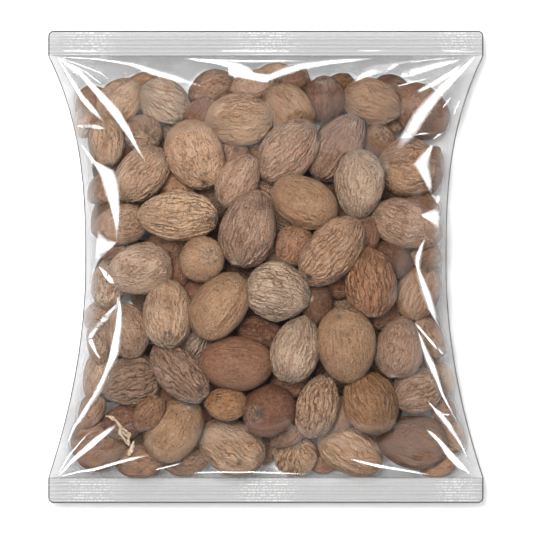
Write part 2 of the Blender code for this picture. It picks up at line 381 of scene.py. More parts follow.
class Pile:
    """Every nutmeg as an egg of one length, breadth and direction, packed inside the film."""

    SPHERES = np.array([-1.0, -0.5, 0.0, 0.5, 1.0])
    ROUNDS = 400
    RELIST = 10
    FILM_GAP = 0.55
    TIGHTNESS = 0.97
    SIDE_GIVE = 0.06
    EAGERNESS = 1.6
    PULL_HOME = np.array([0.05, 0.05, 0.03])
    LONGEST_STEP = 1.5
    NEAR = 3
    DEEPEST_PUSH = 6
    NUDGE = 0.8

    def __init__(self):
        rng = np.random.default_rng(5)
        front = np.array([row[:7] for row in FRONT_NUTMEGS], dtype=float)
        self.front_count = len(front)
        self.finishes = [row[7] for row in FRONT_NUTMEGS]
        self.tones = [row[8] for row in FRONT_NUTMEGS]
        hidden = self.hidden_nutmegs(rng)
        x, y, length, breadth, heading, lean = np.concatenate([front[:, :6], hidden[:, :6]]).T
        self.length, self.breadth = length, breadth
        turn, tip = np.radians(heading), np.radians(lean)
        self.axis = np.stack([np.cos(turn) * np.cos(tip), np.sin(turn) * np.cos(tip), np.sin(tip)], axis=1)
        depth = np.concatenate([front[:, 6], hidden[:, 6]])
        rise = self.half_rise()
        z = heights.front(x, y) - self.FILM_GAP - rise - depth
        z = np.maximum(z, heights.back(x, y) + rise)
        self.place = np.stack([x, y, z], axis=1)
        self.settle()

    def hidden_nutmegs(self, rng):
        """A layer of nutmegs against the back film, in uneven rows, which fills the gaps from behind."""
        rows = []
        for level in np.linspace(*HIDDEN_LEVELS, HIDDEN_ROWS) * HALF_POUCH:
            reach = float(heights.half_width(level)) * HIDDEN_REACH
            for across in np.linspace(-reach, reach, HIDDEN_PER_ROW):
                x, y = np.array([across, level]) + rng.uniform(-HIDDEN_SHIFT, HIDDEN_SHIFT, 2)
                length = rng.uniform(*HIDDEN_LENGTHS)
                breadth = length * rng.uniform(*HIDDEN_SLIMNESS)
                depth = float(heights.front(x, y) - heights.back(x, y)) - breadth - 1
                heading, lean = rng.uniform(0, 360), rng.uniform(-HIDDEN_LEAN, HIDDEN_LEAN)
                rows.append((x, y, length, breadth, heading, lean, depth))
                self.finishes.append(rng.choice(sorted(FINISHES)))
                self.tones.append(rng.choice(sorted(TONES)))
        return np.array(rows)

    def half_rise(self):
        """Half of each nutmeg's height as it lies."""
        lift = self.axis[:, 2]
        return np.sqrt((self.length / 2 * lift) ** 2 + (self.breadth / 2) ** 2 * (1 - lift**2))

    def settle(self):
        """Pushes nutmegs that cut through each other or the film apart, a little at a time."""
        half, radius = self.length / 2, self.breadth / 2
        stretch = half**2 - radius**2
        offsets = (stretch / half)[:, None] * self.SPHERES[None, :]
        narrowing = offsets**2 / np.maximum(stretch, 1e-6)[:, None]
        sizes = radius[:, None] * np.sqrt(np.clip(1 - narrowing, 0, 1))
        owner = np.repeat(np.arange(len(half)), len(self.SPHERES))
        sizes = sizes.reshape(-1) * self.TIGHTNESS
        spread = (offsets[:, :, None] * self.axis[:, None, :]).reshape(-1, 3)
        loose = np.ones((len(half), 3))
        loose[: self.front_count, :2] = self.SIDE_GIVE
        wanted = self.place.copy()
        for turn in range(self.ROUNDS):
            spheres = self.place[owner] + spread
            if turn % self.RELIST == 0:
                one, other = self.near_pairs(spheres, sizes, owner)
            gaps = spheres[one] - spheres[other]
            distance = np.sqrt(np.sum(gaps**2, axis=1)) + 1e-9
            overlap = np.clip(sizes[one] + sizes[other] - distance, 0, None)
            each = gaps * (overlap / distance)[:, None]
            push = np.zeros_like(spheres)
            np.add.at(push, one, each)
            touching = np.maximum(np.bincount(one, overlap > 0, len(sizes)), 1)[:, None]
            push = push / touching + self.film_push(spheres, sizes)
            shift = np.zeros_like(self.place)
            np.add.at(shift, owner, push / len(self.SPHERES))
            shift *= self.EAGERNESS * loose
            shift[: self.front_count] += self.PULL_HOME * (wanted - self.place)[: self.front_count]
            self.place += np.clip(shift, -self.LONGEST_STEP, self.LONGEST_STEP)

    def near_pairs(self, spheres, sizes, owner):
        """Spheres of different nutmegs that touch or could touch soon."""
        squares = np.sum(spheres**2, axis=1)
        apart = squares[:, None] + squares[None, :] - 2 * spheres @ spheres.T
        reach = sizes[:, None] + sizes[None, :] + self.NEAR
        return np.nonzero((apart < reach**2) & (owner[:, None] != owner[None, :]))

    def film_push(self, spheres, sizes):
        """How far each sphere is outside the film, as a push back into it."""
        x, y, z = spheres.T
        nudge = self.NUDGE
        push = np.zeros_like(spheres)
        for surface, way in ((heights.front, 1), (heights.back, -1)):
            level = surface(x, y)
            slope_x = (surface(x + nudge, y) - surface(x - nudge, y)) / (2 * nudge)
            slope_y = (surface(x, y + nudge) - surface(x, y - nudge)) / (2 * nudge)
            steep = np.sqrt(1 + slope_x**2 + slope_y**2)
            outward = np.stack([-slope_x, -slope_y, np.ones_like(x)], axis=1) / steep[:, None] * way
            room = (level - z) * way / steep
            short = np.clip(sizes + self.FILM_GAP - room, 0, self.DEEPEST_PUSH)
            push -= outward * short[:, None]
        return push


pile = Pile()


# ---------------------------------------------------------------- making meshes


def add_mesh(name, corners, faces, attributes=None, uv=None, turns=None, smooth=True):
    """A mesh object from places in millimetres and a list of face arrays, each of one face size."""
    mesh = bpy.data.meshes.new(name)
    indices = np.concatenate([block.reshape(-1) for block in faces])
    totals = np.concatenate([np.full(len(block), block.shape[1]) for block in faces])
    mesh.vertices.add(len(corners))
    mesh.loops.add(len(indices))
    mesh.polygons.add(len(totals))
    mesh.vertices.foreach_set("co", (corners * MM).astype(np.float32).reshape(-1))
    mesh.loops.foreach_set("vertex_index", indices.astype(np.int32))
    mesh.polygons.foreach_set("loop_start", np.concatenate([[0], np.cumsum(totals)[:-1]]).astype(np.int32))
    mesh.update(calc_edges=True)
    if uv is not None:
        layer = mesh.uv_layers.new(name="OFBake")
        layer.uv.foreach_set("vector", uv.astype(np.float32).reshape(-1))
    for label, (kind, values) in (attributes or {}).items():
        attribute = mesh.attributes.new(label, kind, "POINT")
        field = {"FLOAT": "value", "FLOAT_VECTOR": "vector", "FLOAT_COLOR": "color"}[kind]
        attribute.data.foreach_set(field, values.astype(np.float32).reshape(-1))
    if turns is not None:
        mesh.attributes.new("turns", "FLOAT", "CORNER").data.foreach_set("value", turns.astype(np.float32))
    if smooth:
        mesh.shade_smooth()
    piece = bpy.data.objects.new(name, mesh)
    bpy.context.scene.collection.objects.link(piece)
    return piece


def finish_piece(piece, material):
    """Every piece rides on the bag's one body and takes its material."""
    piece.data.materials.append(material)
    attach(piece, "root")


def grid_faces(rows, columns, start=0, closed=False):
    """Quads of a grid of points, row after row, wound to face up when rows run up and columns right."""
    last = columns if closed else columns - 1
    row, column = np.meshgrid(np.arange(rows - 1), np.arange(last), indexing="ij")
    after = (column + 1) % columns
    low, high = row * columns, (row + 1) * columns
    quads = [low + column, low + after, high + after, high + column]
    return start + np.stack(quads, axis=-1).reshape(-1, 4)


# ---------------------------------------------------------------- nutmeg shells


class Shell:
    """One nutmeg's outer surface: an egg with a scar, a nipple, a furrow, ribs and a fine net."""

    CROWDED_ROUND = 0.45
    EGG_SHAPE = (-0.10, 0.16)
    FLATNESS = (0.93, 1.0)
    FURROW_WIDTH = 0.8
    SCAR_RIM = (2.3, 0.8)
    TIP_RADIUS = 1.3
    OFF_FLOOR = 0.1
    BAKE_MARGIN = 0.02

    def __init__(self, number, rings, columns):
        self.rings, self.columns = rings, columns
        self.number = number
        self.rng = np.random.default_rng(100 + number)
        self.half = pile.length[number] / 2
        self.radius = pile.breadth[number] / 2
        self.offset = self.rng.uniform(-400, 400, 3)
        self.shape()
        self.place_in_bag()

    def shape(self):
        """Local places: z along the nutmeg to its scar, y up, in millimetres."""
        polar = np.linspace(0, math.pi, self.rings + 1)[1:-1]
        even = np.linspace(-0.5 * math.pi, 1.5 * math.pi, self.columns, endpoint=False)
        around = even + self.CROWDED_ROUND * np.cos(even)
        polar, around = np.meshgrid(polar, around, indexing="ij")
        polar = np.concatenate([[0.0], polar.reshape(-1), [math.pi]])
        around = np.concatenate([[0.5 * math.pi], around.reshape(-1), [0.5 * math.pi]])
        egg = self.rng.uniform(*self.EGG_SHAPE)
        flat = self.rng.uniform(*self.FLATNESS)
        wide = np.sin(polar) ** 0.94 * (1 + egg * np.cos(polar) - 0.5 * egg**2)
        x = self.radius * wide * np.cos(around)
        y = self.radius * flat * wide * np.sin(around)
        z = self.half * np.cos(polar)
        base = np.stack([x, y, z], axis=1)
        outward = base / np.array([self.radius**2, (self.radius * flat) ** 2, self.half**2])
        outward /= np.linalg.norm(outward, axis=1)[:, None]
        lift = self.relief(base, polar, around)
        self.local = base + outward * lift[:, None]

    def relief(self, base, polar, around):
        """How far the surface stands out of the plain egg, and the masks that its colours need."""
        finish = pile.finishes[self.number]
        rib_depth, rib_pitch, rib_length, rib_share, net_depth, net_size = FINISHES[finish]
        seed = self.number * 7
        places = base + self.offset
        lumps = 0.55 * noise(places * 0.085, seed) + 0.22 * noise(places * 0.21, seed + 1)
        lumps += 0.10 * noise(places * 0.5, seed + 11)
        turn = around + self.offset[0]
        bend = 0.30 * noise(places * 0.10, seed + 2) + 0.16 * noise(places * 0.27, seed + 3)
        bend += 0.07 * noise(places * 0.7, seed + 9)
        self.ribs_round = round(2 * math.pi * self.radius / rib_pitch)
        self.phase = (turn + bend * 9 / self.radius) * self.ribs_round / 2
        wave = np.abs(np.sin(self.phase))
        across = self.radius / rib_pitch * 1.3
        lengthwise = base[:, 2] / rib_length * 1.6
        wrapped = np.stack([across * np.cos(turn), across * np.sin(turn), lengthwise], axis=1)
        line = noise(wrapped + self.offset, seed + 4) + 0.3 * noise(wrapped * 2.1 + self.offset, seed + 5)
        share = smoothstep(-0.25, 0.25, noise(places * 0.11, seed + 5) + rib_share - 0.5)
        share *= smoothstep(0.08, 0.35, np.sin(polar))
        broken = smoothstep(-0.45, 0.15, noise(wrapped * 0.8 + self.offset, seed + 10))
        self.share = share * (0.45 + 0.55 * broken)
        ribs = 2.0 * rib_depth * share * broken * (wave**0.6 - 1)
        ribs += 0.9 * rib_depth * share * (np.minimum(np.abs(line) / 0.22, 1) ** 0.65 - 1)
        fine = noise(places / net_size, seed + 6) + 0.5 * noise(places * 2 / net_size, seed + 7)
        net = net_depth * (np.minimum(np.abs(fine) / 0.3, 1) ** 0.7 - 1)
        from_axis = np.hypot(base[:, 0], base[:, 1])
        ahead, behind = base[:, 2] > 0, base[:, 2] < 0
        rim_radius, rim_width = self.SCAR_RIM
        rim = np.exp(-(((from_axis - rim_radius) / rim_width) ** 2)) * ahead
        tip = np.exp(-((from_axis / self.TIP_RADIUS) ** 2))
        hollow, nipple = tip * ahead, tip * behind
        wander = turn + 0.25 * noise(places * 0.12, seed + 8)
        from_furrow = np.angle(np.exp(1j * wander)) * self.radius / self.FURROW_WIDTH
        self.furrow = np.exp(-(from_furrow**2)) * smoothstep(0.2, 0.6, np.sin(polar))
        self.scar = np.clip(rim + hollow, 0, 1)
        return lumps + ribs + net + 0.28 * rim - 0.45 * hollow + 0.4 * nipple - 0.35 * self.furrow

    def place_in_bag(self):
        """Turns the shell to its direction, moves it to its place, and presses its marks in."""
        axis = pile.axis[self.number]
        side = np.cross(np.array([0.0, 0.0, 1.0]), axis)
        if np.linalg.norm(side) < 0.05:
            side = np.array([1.0, 0.0, 0.0])
        side /= np.linalg.norm(side)
        up = np.cross(axis, side)
        self.corners = pile.place[self.number] + self.local @ np.stack([-side, up, axis])
        self.mark = self.marks()
        outward = self.corners - pile.place[self.number]
        outward /= np.linalg.norm(outward, axis=1)[:, None]
        self.corners += outward * (MARK_RELIEF * self.mark)[:, None]
        self.corners[:, 2] = np.maximum(self.corners[:, 2], self.OFF_FLOOR)

    def marks(self):
        """The scars and knots that fall on the side of this nutmeg that faces the front."""
        total = np.zeros(len(self.corners))
        ragged = 1 + 0.35 * noise(self.corners * 0.8 + self.offset, 77)
        above = smoothstep(0, 2, self.corners[:, 2] - pile.place[self.number][2])
        for x, y, radius, strength in MARKS:
            away = np.hypot(self.corners[:, 0] - x, self.corners[:, 1] - y) * ragged
            total += strength * np.exp(-((away / radius) ** 2)) * above
        return total

    def lattices(self):
        """The faces, as the ring and column of each corner: quads between rings, and a fan at each end."""
        column = np.arange(self.columns)
        quads = grid_faces(self.rings - 1, self.columns + 1)[:, ::-1]
        quads = np.stack(np.divmod(quads, self.columns + 1), axis=-1)
        fans = [
            [(pole, column + 0.5), (beside, column + first), (beside, column + 1 - first)]
            for pole, beside, first in ((0, 1, 0), (self.rings, self.rings - 1, 1))
        ]
        fans = [[np.stack([0 * place + ring, place], axis=-1) for ring, place in fan] for fan in fans]
        return quads + np.array([1, 0]), np.concatenate([np.stack(fan, axis=1) for fan in fans])

    def vertices(self, lattice):
        """The vertex at each ring and column: one at each end, and the rings between them."""
        ring, column = lattice[..., 0], lattice[..., 1]
        between = 1 + (ring - 1) * self.columns + column % self.columns
        tip = 1 + (self.rings - 1) * self.columns
        return np.where(ring == 0, 0, np.where(ring == self.rings, tip, between)).astype(int)

    def turns(self, vertices):
        """Each face corner's place in the run of ribs, which goes on past a full turn where it closes."""
        phase = self.phase[vertices]
        whole = self.ribs_round * math.pi
        return phase + whole * (phase.max(axis=1, keepdims=True) - phase > whole / 2)

    def uv(self, lattice, cell, cells):
        """This nutmeg's own patch of the piece's bake: round it across, along it up."""
        used = 1 - 2 * self.BAKE_MARGIN
        scale = np.array([used / self.columns, used / self.rings]) / cells
        shift = (np.array([cell % cells, cell // cells]) + self.BAKE_MARGIN) / cells
        return lattice[..., ::-1] * scale + shift

    def tone(self):
        """The shell's colour as scene light, a little off its named tone. The hidden ones are darkened with
        painted shade.
        """
        colour = np.array(linear_colour(TONES[pile.tones[self.number]])) * SHELL_SHADE
        # Painted shade: the hidden nutmegs are made darker.
        colour = colour * (1 if self.number < pile.front_count else HIDDEN_PAINTED_SHADE)
        colour = colour * self.rng.uniform(0.97, 1.03) * self.rng.uniform(0.99, 1.01, 3)
        return np.tile(np.append(colour, 1.0), (len(self.corners), 1))


def shell_detail(number):
    """Rings and columns: fine for the nutmegs in full view, coarser for those further in."""
    if number >= pile.front_count:
        return HIDDEN_DETAIL
    depth = FRONT_NUTMEGS[number][6]
    ribbed = pile.finishes[number] != "smooth"
    for deepest, plain, fine in SHELL_DETAIL:
        if depth <= deepest:
            return fine if ribbed else plain


def join_shells(name, numbers):
    """One piece of every nutmeg of one kind: all their quads first, then the fans at their ends."""
    cells = math.ceil(math.sqrt(len(numbers)))
    parts, start = [], 0
    faces, turns, uv = ([], []), ([], []), ([], [])
    for cell, number in enumerate(numbers):
        shell = Shell(number, *shell_detail(number))
        for kind, lattice in enumerate(shell.lattices()):
            vertices = shell.vertices(lattice)
            faces[kind].append(start + vertices)
            turns[kind].append(shell.turns(vertices).reshape(-1))
            uv[kind].append(shell.uv(lattice, cell, cells).reshape(-1, 2))
        parts.append(shell)
        start += len(shell.corners)
    attributes = {
        "tone": ("FLOAT_COLOR", np.concatenate([shell.tone() for shell in parts])),
        "place": ("FLOAT_VECTOR", np.concatenate([shell.local + shell.offset for shell in parts])),
    }
    for mask in ("share", "furrow", "scar", "mark"):
        attributes[mask] = ("FLOAT", np.concatenate([getattr(shell, mask) for shell in parts]))
    return add_mesh(
        name,
        np.concatenate([shell.corners for shell in parts]),
        [np.concatenate(kind) for kind in faces],
        attributes,
        np.concatenate(uv[0] + uv[1]),
        np.concatenate(turns[0] + turns[1]),
    )


# ---------------------------------------------------------------- node groups and materials


def new_group(name, inputs, outputs):
    """A shader node group: its Nodes, its input sockets and its output sockets, by name."""
    tree = bpy.data.node_groups.new(name, "ShaderNodeTree")
    for way, sockets in (("INPUT", inputs), ("OUTPUT", outputs)):
        for label, kind in sockets.items():
            tree.interface.new_socket(label, in_out=way, socket_type=f"NodeSocket{kind}")
    given, out = tree.nodes.new("NodeGroupInput"), tree.nodes.new("NodeGroupOutput")
    return Nodes(tree), dict(given.outputs.items()), dict(out.inputs.items())


def floats(*labels):
    return dict.fromkeys(labels, "Float")


class Nodes:
    """Short ways to add and link nodes in one tree."""

    def __init__(self, tree):
        self.tree = tree

    def add(self, kind, **settings):
        node = self.tree.nodes.new(kind)
        for name, value in settings.items():
            setattr(node, name, value)
        return node

    def link(self, source, target):
        self.tree.links.new(source, target)

    def feed(self, socket, value):
        """Links a socket, or sets it to a plain value."""
        if isinstance(value, bpy.types.NodeSocket):
            self.link(value, socket)
        else:
            socket.default_value = value

    def math(self, operation, first, second=0.0, third=0.0):
        node = self.add("ShaderNodeMath", operation=operation)
        for socket, value in zip(node.inputs, (first, second, third)):
            self.feed(socket, value)
        return node.outputs[0]

    def mix(self, share, first, second, blend="MIX"):
        node = self.add("ShaderNodeMix", data_type="RGBA", blend_type=blend)
        self.feed(node.inputs["Factor"], share)
        self.feed(node.inputs["A"], first)
        self.feed(node.inputs["B"], second)
        return node.outputs["Result"]

    def shaded(self, colour, *shares):
        """The colour times a share for each of red, green and blue."""
        return self.mix(1.0, colour, (*shares, 1), "MULTIPLY")

    def ramp(self, value, low, high, start=0.0, end=1.0):
        """value from low to high becomes start to end, smoothly."""
        node = self.add("ShaderNodeMapRange", interpolation_type="SMOOTHSTEP")
        for socket, number in zip(node.inputs, (value, low, high, start, end)):
            self.feed(socket, number)
        return node.outputs["Result"]

    def noise(self, place, scale, detail=2.0, roughness=0.5, kind="FBM"):
        node = self.add("ShaderNodeTexNoise", noise_dimensions="3D", noise_type=kind)
        self.feed(node.inputs["Vector"], place)
        node.inputs["Scale"].default_value = scale
        node.inputs["Detail"].default_value = detail
        node.inputs["Roughness"].default_value = roughness
        return node.outputs[0]

    def cells(self, place, scale):
        """Scattered cells: the node, with the distance from each cell's middle and its own colour."""
        node = self.add("ShaderNodeTexVoronoi", feature="F1")
        self.feed(node.inputs["Vector"], place)
        node.inputs["Scale"].default_value = scale
        return node.outputs

    def stretch(self, place, scale):
        node = self.add("ShaderNodeVectorMath", operation="MULTIPLY")
        self.feed(node.inputs[0], place)
        node.inputs[1].default_value = scale
        return node.outputs[0]

    def attribute(self, name, output="Fac"):
        return self.add("ShaderNodeAttribute", attribute_name=name).outputs[output]

    def blend_shaders(self, share, first, second):
        node = self.add("ShaderNodeMixShader")
        for socket, value in zip(node.inputs, (share, first, second)):
            self.feed(socket, value)
        return node.outputs[0]

    def masks(self, *names):
        """Attributes of the mesh, for a group's inputs of the same names."""
        return {name.capitalize(): self.attribute(name) for name in names}

    def group(self, tree, **values):
        node = self.add("ShaderNodeGroup")
        node.node_tree = tree
        for label, value in values.items():
            self.feed(node.inputs[label], value)
        return node.outputs


def build_shell_tint():
    """A shell's colour: uneven patches, dusty crests, small dark specks, and dark grooves and wrinkle
    valleys, partly the shell's own darker furrows and partly painted shade.
    """
    n, given, out = new_group(
        "Shell Tint",
        {"Tone": "Color", "Place": "Vector"}
        | floats("Groove", "Scar", "Mark", "Valleys", "GrooveShade", "Patchiness", "Dust", "Specks"),
        {"Color": "Color", "Roughness": "Float"},
    )
    tone, place, patchiness = given["Tone"], given["Place"], given["Patchiness"]
    patch = n.ramp(n.noise(place, 0.24, 3.0, 0.6), 0.35, 0.65)
    patches = n.mix(patch, n.shaded(tone, 1.08, 0.96, 0.88), n.shaded(tone, 1.06, 1.05, 1.05))
    tint = n.mix(patchiness, tone, patches)
    blotch = n.math("MULTIPLY", n.ramp(n.noise(place, 0.11, 2.0), 0.40, 0.68), patchiness)
    tint = n.mix(blotch, tint, n.shaded(tint, 0.80, 0.76, 0.74))
    streaks = n.noise(n.stretch(place, (1.0, 1.0, 0.16)), 1.5, 3.0, 0.6)
    tint = n.mix(n.ramp(streaks, 0.42, 0.62, 0.0, 0.7), tint, n.shaded(tint, 0.84, 0.78, 0.74))
    mottle = n.ramp(n.noise(place, 1.3, 3.0, 0.65), 0.38, 0.62)
    tint = n.mix(mottle, n.shaded(tint, 0.80, 0.76, 0.73), tint)
    dust = n.math("MULTIPLY", n.ramp(n.noise(place, 0.75, 4.0, 0.62), 0.48, 0.68), given["Dust"])
    tint = n.mix(dust, tint, (0.46, 0.35, 0.27, 1))
    # Wrinkle valleys and grooves are darkened: partly the shell's own darker furrows, partly painted shade of
    # its relief.
    tint = n.mix(n.math("MULTIPLY", given["Valleys"], 0.7), tint, n.shaded(tint, 0.63, 0.48, 0.39))
    groove = n.math("MULTIPLY", given["Groove"], given["GrooveShade"])
    tint = n.mix(groove, tint, n.shaded(tint, 0.43, 0.27, 0.19))
    spots = n.cells(place, 0.9)
    split = n.add("ShaderNodeSeparateColor")
    n.link(spots["Color"], split.inputs[0])
    few = n.math("GREATER_THAN", split.outputs[0], 0.62)
    spot = n.math("MULTIPLY", n.ramp(spots["Distance"], 0.28, 0.14), few)
    spot = n.math("MULTIPLY", spot, given["Specks"])
    tint = n.mix(spot, tint, n.shaded(tint, 0.37, 0.27, 0.22))
    ring = n.mix(n.ramp(n.noise(place, 1.1, 3.0), 0.40, 0.60), (0.06, 0.045, 0.035, 1), (0.40, 0.30, 0.20, 1))
    tint = n.mix(n.math("MULTIPLY", given["Scar"], 0.55), tint, ring)
    tint = n.mix(n.ramp(given["Mark"], -0.1, -0.9, 0.0, 0.85), tint, (0.055, 0.040, 0.032, 1))
    tint = n.mix(n.ramp(given["Mark"], 0.1, 0.9, 0.0, 0.8), tint, (0.42, 0.33, 0.24, 1))
    n.link(tint, out["Color"])
    n.link(n.ramp(streaks, 0.3, 0.7, 0.62, 0.82), out["Roughness"])
    return n.tree


def build_shell_relief():
    """The fine relief of a dry shell: its ribs, cracks, wrinkles, short streaks, grain and pinholes."""
    n, given, out = new_group(
        "Shell Relief",
        {"Place": "Vector"} | floats("Turns", "Share", "Furrow", "Ribs", "Cracks", "Pitting"),
        floats("Height", "Valleys", "Groove"),
    )
    place = given["Place"]
    fine_shift = n.noise(n.stretch(place, (1.0, 1.0, 0.5)), 0.9, 2.0)
    turns = n.math("MULTIPLY_ADD", n.math("SUBTRACT", fine_shift, 0.5), 2.2, given["Turns"])
    wave = n.math("ABSOLUTE", n.math("SINE", turns))
    share = n.math("MULTIPLY", given["Share"], given["Ribs"])
    rib_line = n.math("MULTIPLY", n.ramp(wave, 0.58, 0.04), share)
    crack_field = n.noise(n.stretch(place, (1.0, 1.0, 0.36)), 0.55, 3.0, 0.62)
    crack = n.ramp(n.math("ABSOLUTE", n.math("SUBTRACT", crack_field, 0.5)), 0.028, 0.004)
    open_share = n.ramp(n.noise(place, 0.22, 1.0), 0.36, 0.56, 0.15, 1.0)
    crack = n.math("MULTIPLY", n.math("MULTIPLY", crack, open_share), given["Cracks"])
    groove = n.math("MAXIMUM", rib_line, crack)
    groove = n.math("MAXIMUM", groove, n.math("MULTIPLY", given["Furrow"], 0.7))
    wrinkles = n.noise(n.stretch(place, (1.0, 1.0, 0.24)), 0.62, 4.0, 0.6, kind="RIDGED_MULTIFRACTAL")
    grain = n.noise(n.stretch(place, (1.0, 1.0, 0.45)), 1.7, 4.0, 0.7)
    streaks = n.noise(n.stretch(place, (1.0, 1.0, 0.12)), 2.4, 2.0, 0.6)
    height = n.math("MULTIPLY_ADD", streaks, 0.5, grain)
    height = n.math("MULTIPLY_ADD", wrinkles, -0.90, height)
    height = n.math("MULTIPLY_ADD", n.math("POWER", wave, 0.6), n.math("MULTIPLY", share, 0.8), height)
    height = n.math("MULTIPLY_ADD", crack, -0.45, height)
    pit = n.math("MULTIPLY", n.ramp(n.cells(place, 0.9)["Distance"], 0.30, 0.10), given["Pitting"])
    n.link(n.math("SUBTRACT", height, pit), out["Height"])
    n.link(n.ramp(wrinkles, 0.8, 1.6), out["Valleys"])
    n.link(groove, out["Groove"])
    return n.tree


def new_material(name):
    """A material, its Nodes and its Principled BSDF."""
    material = bpy.data.materials.new(name)
    material.use_nodes = True
    return material, Nodes(material.node_tree), material.node_tree.nodes["Principled BSDF"]


def shell_material(name, ribs, cracks, groove_shade, patchiness, dust, specks, pitting, bump):
    """A dry, matt shell."""
    material, n, shader = new_material(name)
    place = n.attribute("place", "Vector")
    relief = n.group(
        groups["relief"],
        Place=place,
        Ribs=ribs,
        Cracks=cracks,
        Pitting=pitting,
        **n.masks("turns", "share", "furrow"),
    )
    tint = n.group(
        groups["tint"],
        Tone=n.attribute("tone", "Color"),
        Place=place,
        Valleys=relief["Valleys"],
        Groove=relief["Groove"],
        GrooveShade=groove_shade,
        Patchiness=patchiness,
        Dust=dust,
        Specks=specks,
        **n.masks("scar", "mark"),
    )
    bumps = n.add("ShaderNodeBump")
    bumps.inputs["Strength"].default_value = 1.0
    bumps.inputs["Distance"].default_value = bump * MM
    n.link(relief["Height"], bumps.inputs["Height"])
    n.link(tint["Color"], shader.inputs["Base Color"])
    n.link(tint["Roughness"], shader.inputs["Roughness"])
    n.link(bumps.outputs["Normal"], shader.inputs["Normal"])
    shader.inputs["Specular IOR Level"].default_value = 0.28
    return material


groups = {"tint": build_shell_tint(), "relief": build_shell_relief()}

# Ribs, cracks, groove shade (partly painted shade), patchiness, dust, specks, pitting and bump of each
# finish.
SHELL_LOOKS = {
    "smooth": (0.35, 0.36, 0.60, 0.65, 0.12, 0.85, 0.40, 1.50),
    "ribbed": (0.90, 0.50, 0.65, 0.55, 0.16, 0.60, 0.35, 1.60),
    "netted": (0.50, 0.80, 0.65, 0.60, 0.22, 0.80, 0.55, 1.50),
    "furrowed": (1.00, 0.75, 0.75, 0.60, 0.16, 0.65, 0.40, 1.90),
    "grooved": (1.10, 0.65, 0.85, 0.50, 0.12, 0.50, 0.35, 1.90),
    "mottled": (0.40, 0.80, 0.70, 1.00, 0.20, 1.00, 0.80, 1.60),
}

shells = []
for finish, look in SHELL_LOOKS.items():
    numbers = [number for number in range(pile.front_count) if pile.finishes[number] == finish]
    piece = join_shells(f"nutmegs_{finish}", numbers)
    finish_piece(piece, shell_material(f"nutmeg_{finish}", *look))
    shells.append(piece)
behind = join_shells("nutmegs_behind", list(range(pile.front_count, len(pile.length))))
finish_piece(behind, shell_material("nutmeg_behind", *SHELL_LOOKS["ribbed"]))
shells.append(behind)


# ---------------------------------------------------------------- the film

FILM_ROWS = 150
FILM_COLUMNS = 200
COLUMN_CROWDING = 0.82
ROW_CROWDING = 0.78
FILM_CLEARANCE = 0.35
OFF_FLOOR = 0.02
# Slack film is milky and darker to see through, partly as painted shade, and this much clearer at the sides.
# The milky band along the sides, a painted reflection, starts at the next share of the half width.
SIDE_CLEARNESS = 0.8
VEIL_START = 0.90

# How dark the lines between a seal's ribs are beside its film, and the shade of the glints painted on it as
# small bright spots.
LINE_SHADE = 0.82
PAINTED_GLINT_SHADE = 0.9

# Columns and rows of a seal's mesh, its ribs, and where along it glints are painted, where the light would
# catch them.
SEAL_MESH = (200, 73)
SEAL_RIBS = 9
SEAL_RELIEF = 0.02
SEAL_WAVE = 0.12
SEAL_GLEAMS = [(-61, 10), (0, 12), (66, 8)]

# The facets across a fold, and how strong its painted highlight, a milky white in its colour, and its gloss
# are on each. Wide folds are one flat facet.
FOLD_STEPS = 40
FOLD_SHARES = np.array([0, 0.14, 0.32, 0.5, 0.68, 0.86, 1])[:, None]
FOLD_FADE = np.array([0, 0.38, 0.85, 1, 0.85, 0.38, 0])[:, None]
FOLD_TILT = math.radians(35)
FOLD_CUP = 0.06
FOLD_LIFT = 0.15
FOLD_EVENING = 13
FLAT_FOLD_WIDTH = 4.5

# The bag's outline, as points up each side and across each end, and half the line's thickness.
EDGE_POINTS = (240, 60)
EDGE_THICKNESS = 0.23

# The line pressed in beside each seal: its points, how far it runs, and its ridge's section.
CREASE_POINTS = 160
CREASE_REACH = 0.985
CREASE_RIDGE = ((-0.22, 0.05), (0.0, 0.30), (0.22, 0.05))


def blurred(grid, times):
    """The grid smoothed, with its border left as it is."""
    for _ in range(times):
        grid = grid.copy()
        grid[1:-1] = (grid[:-2] + 2 * grid[1:-1] + grid[2:]) / 4
        grid[:, 1:-1] = (grid[:, :-2] + 2 * grid[:, 1:-1] + grid[:, 2:]) / 4
    return grid


def crowded(count, crowding):
    """Places from -1 to 1 that draw together towards both ends."""
    even = np.linspace(-1, 1, count)
    return np.sin(even * math.pi / 2 * crowding) / math.sin(math.pi / 2 * crowding)


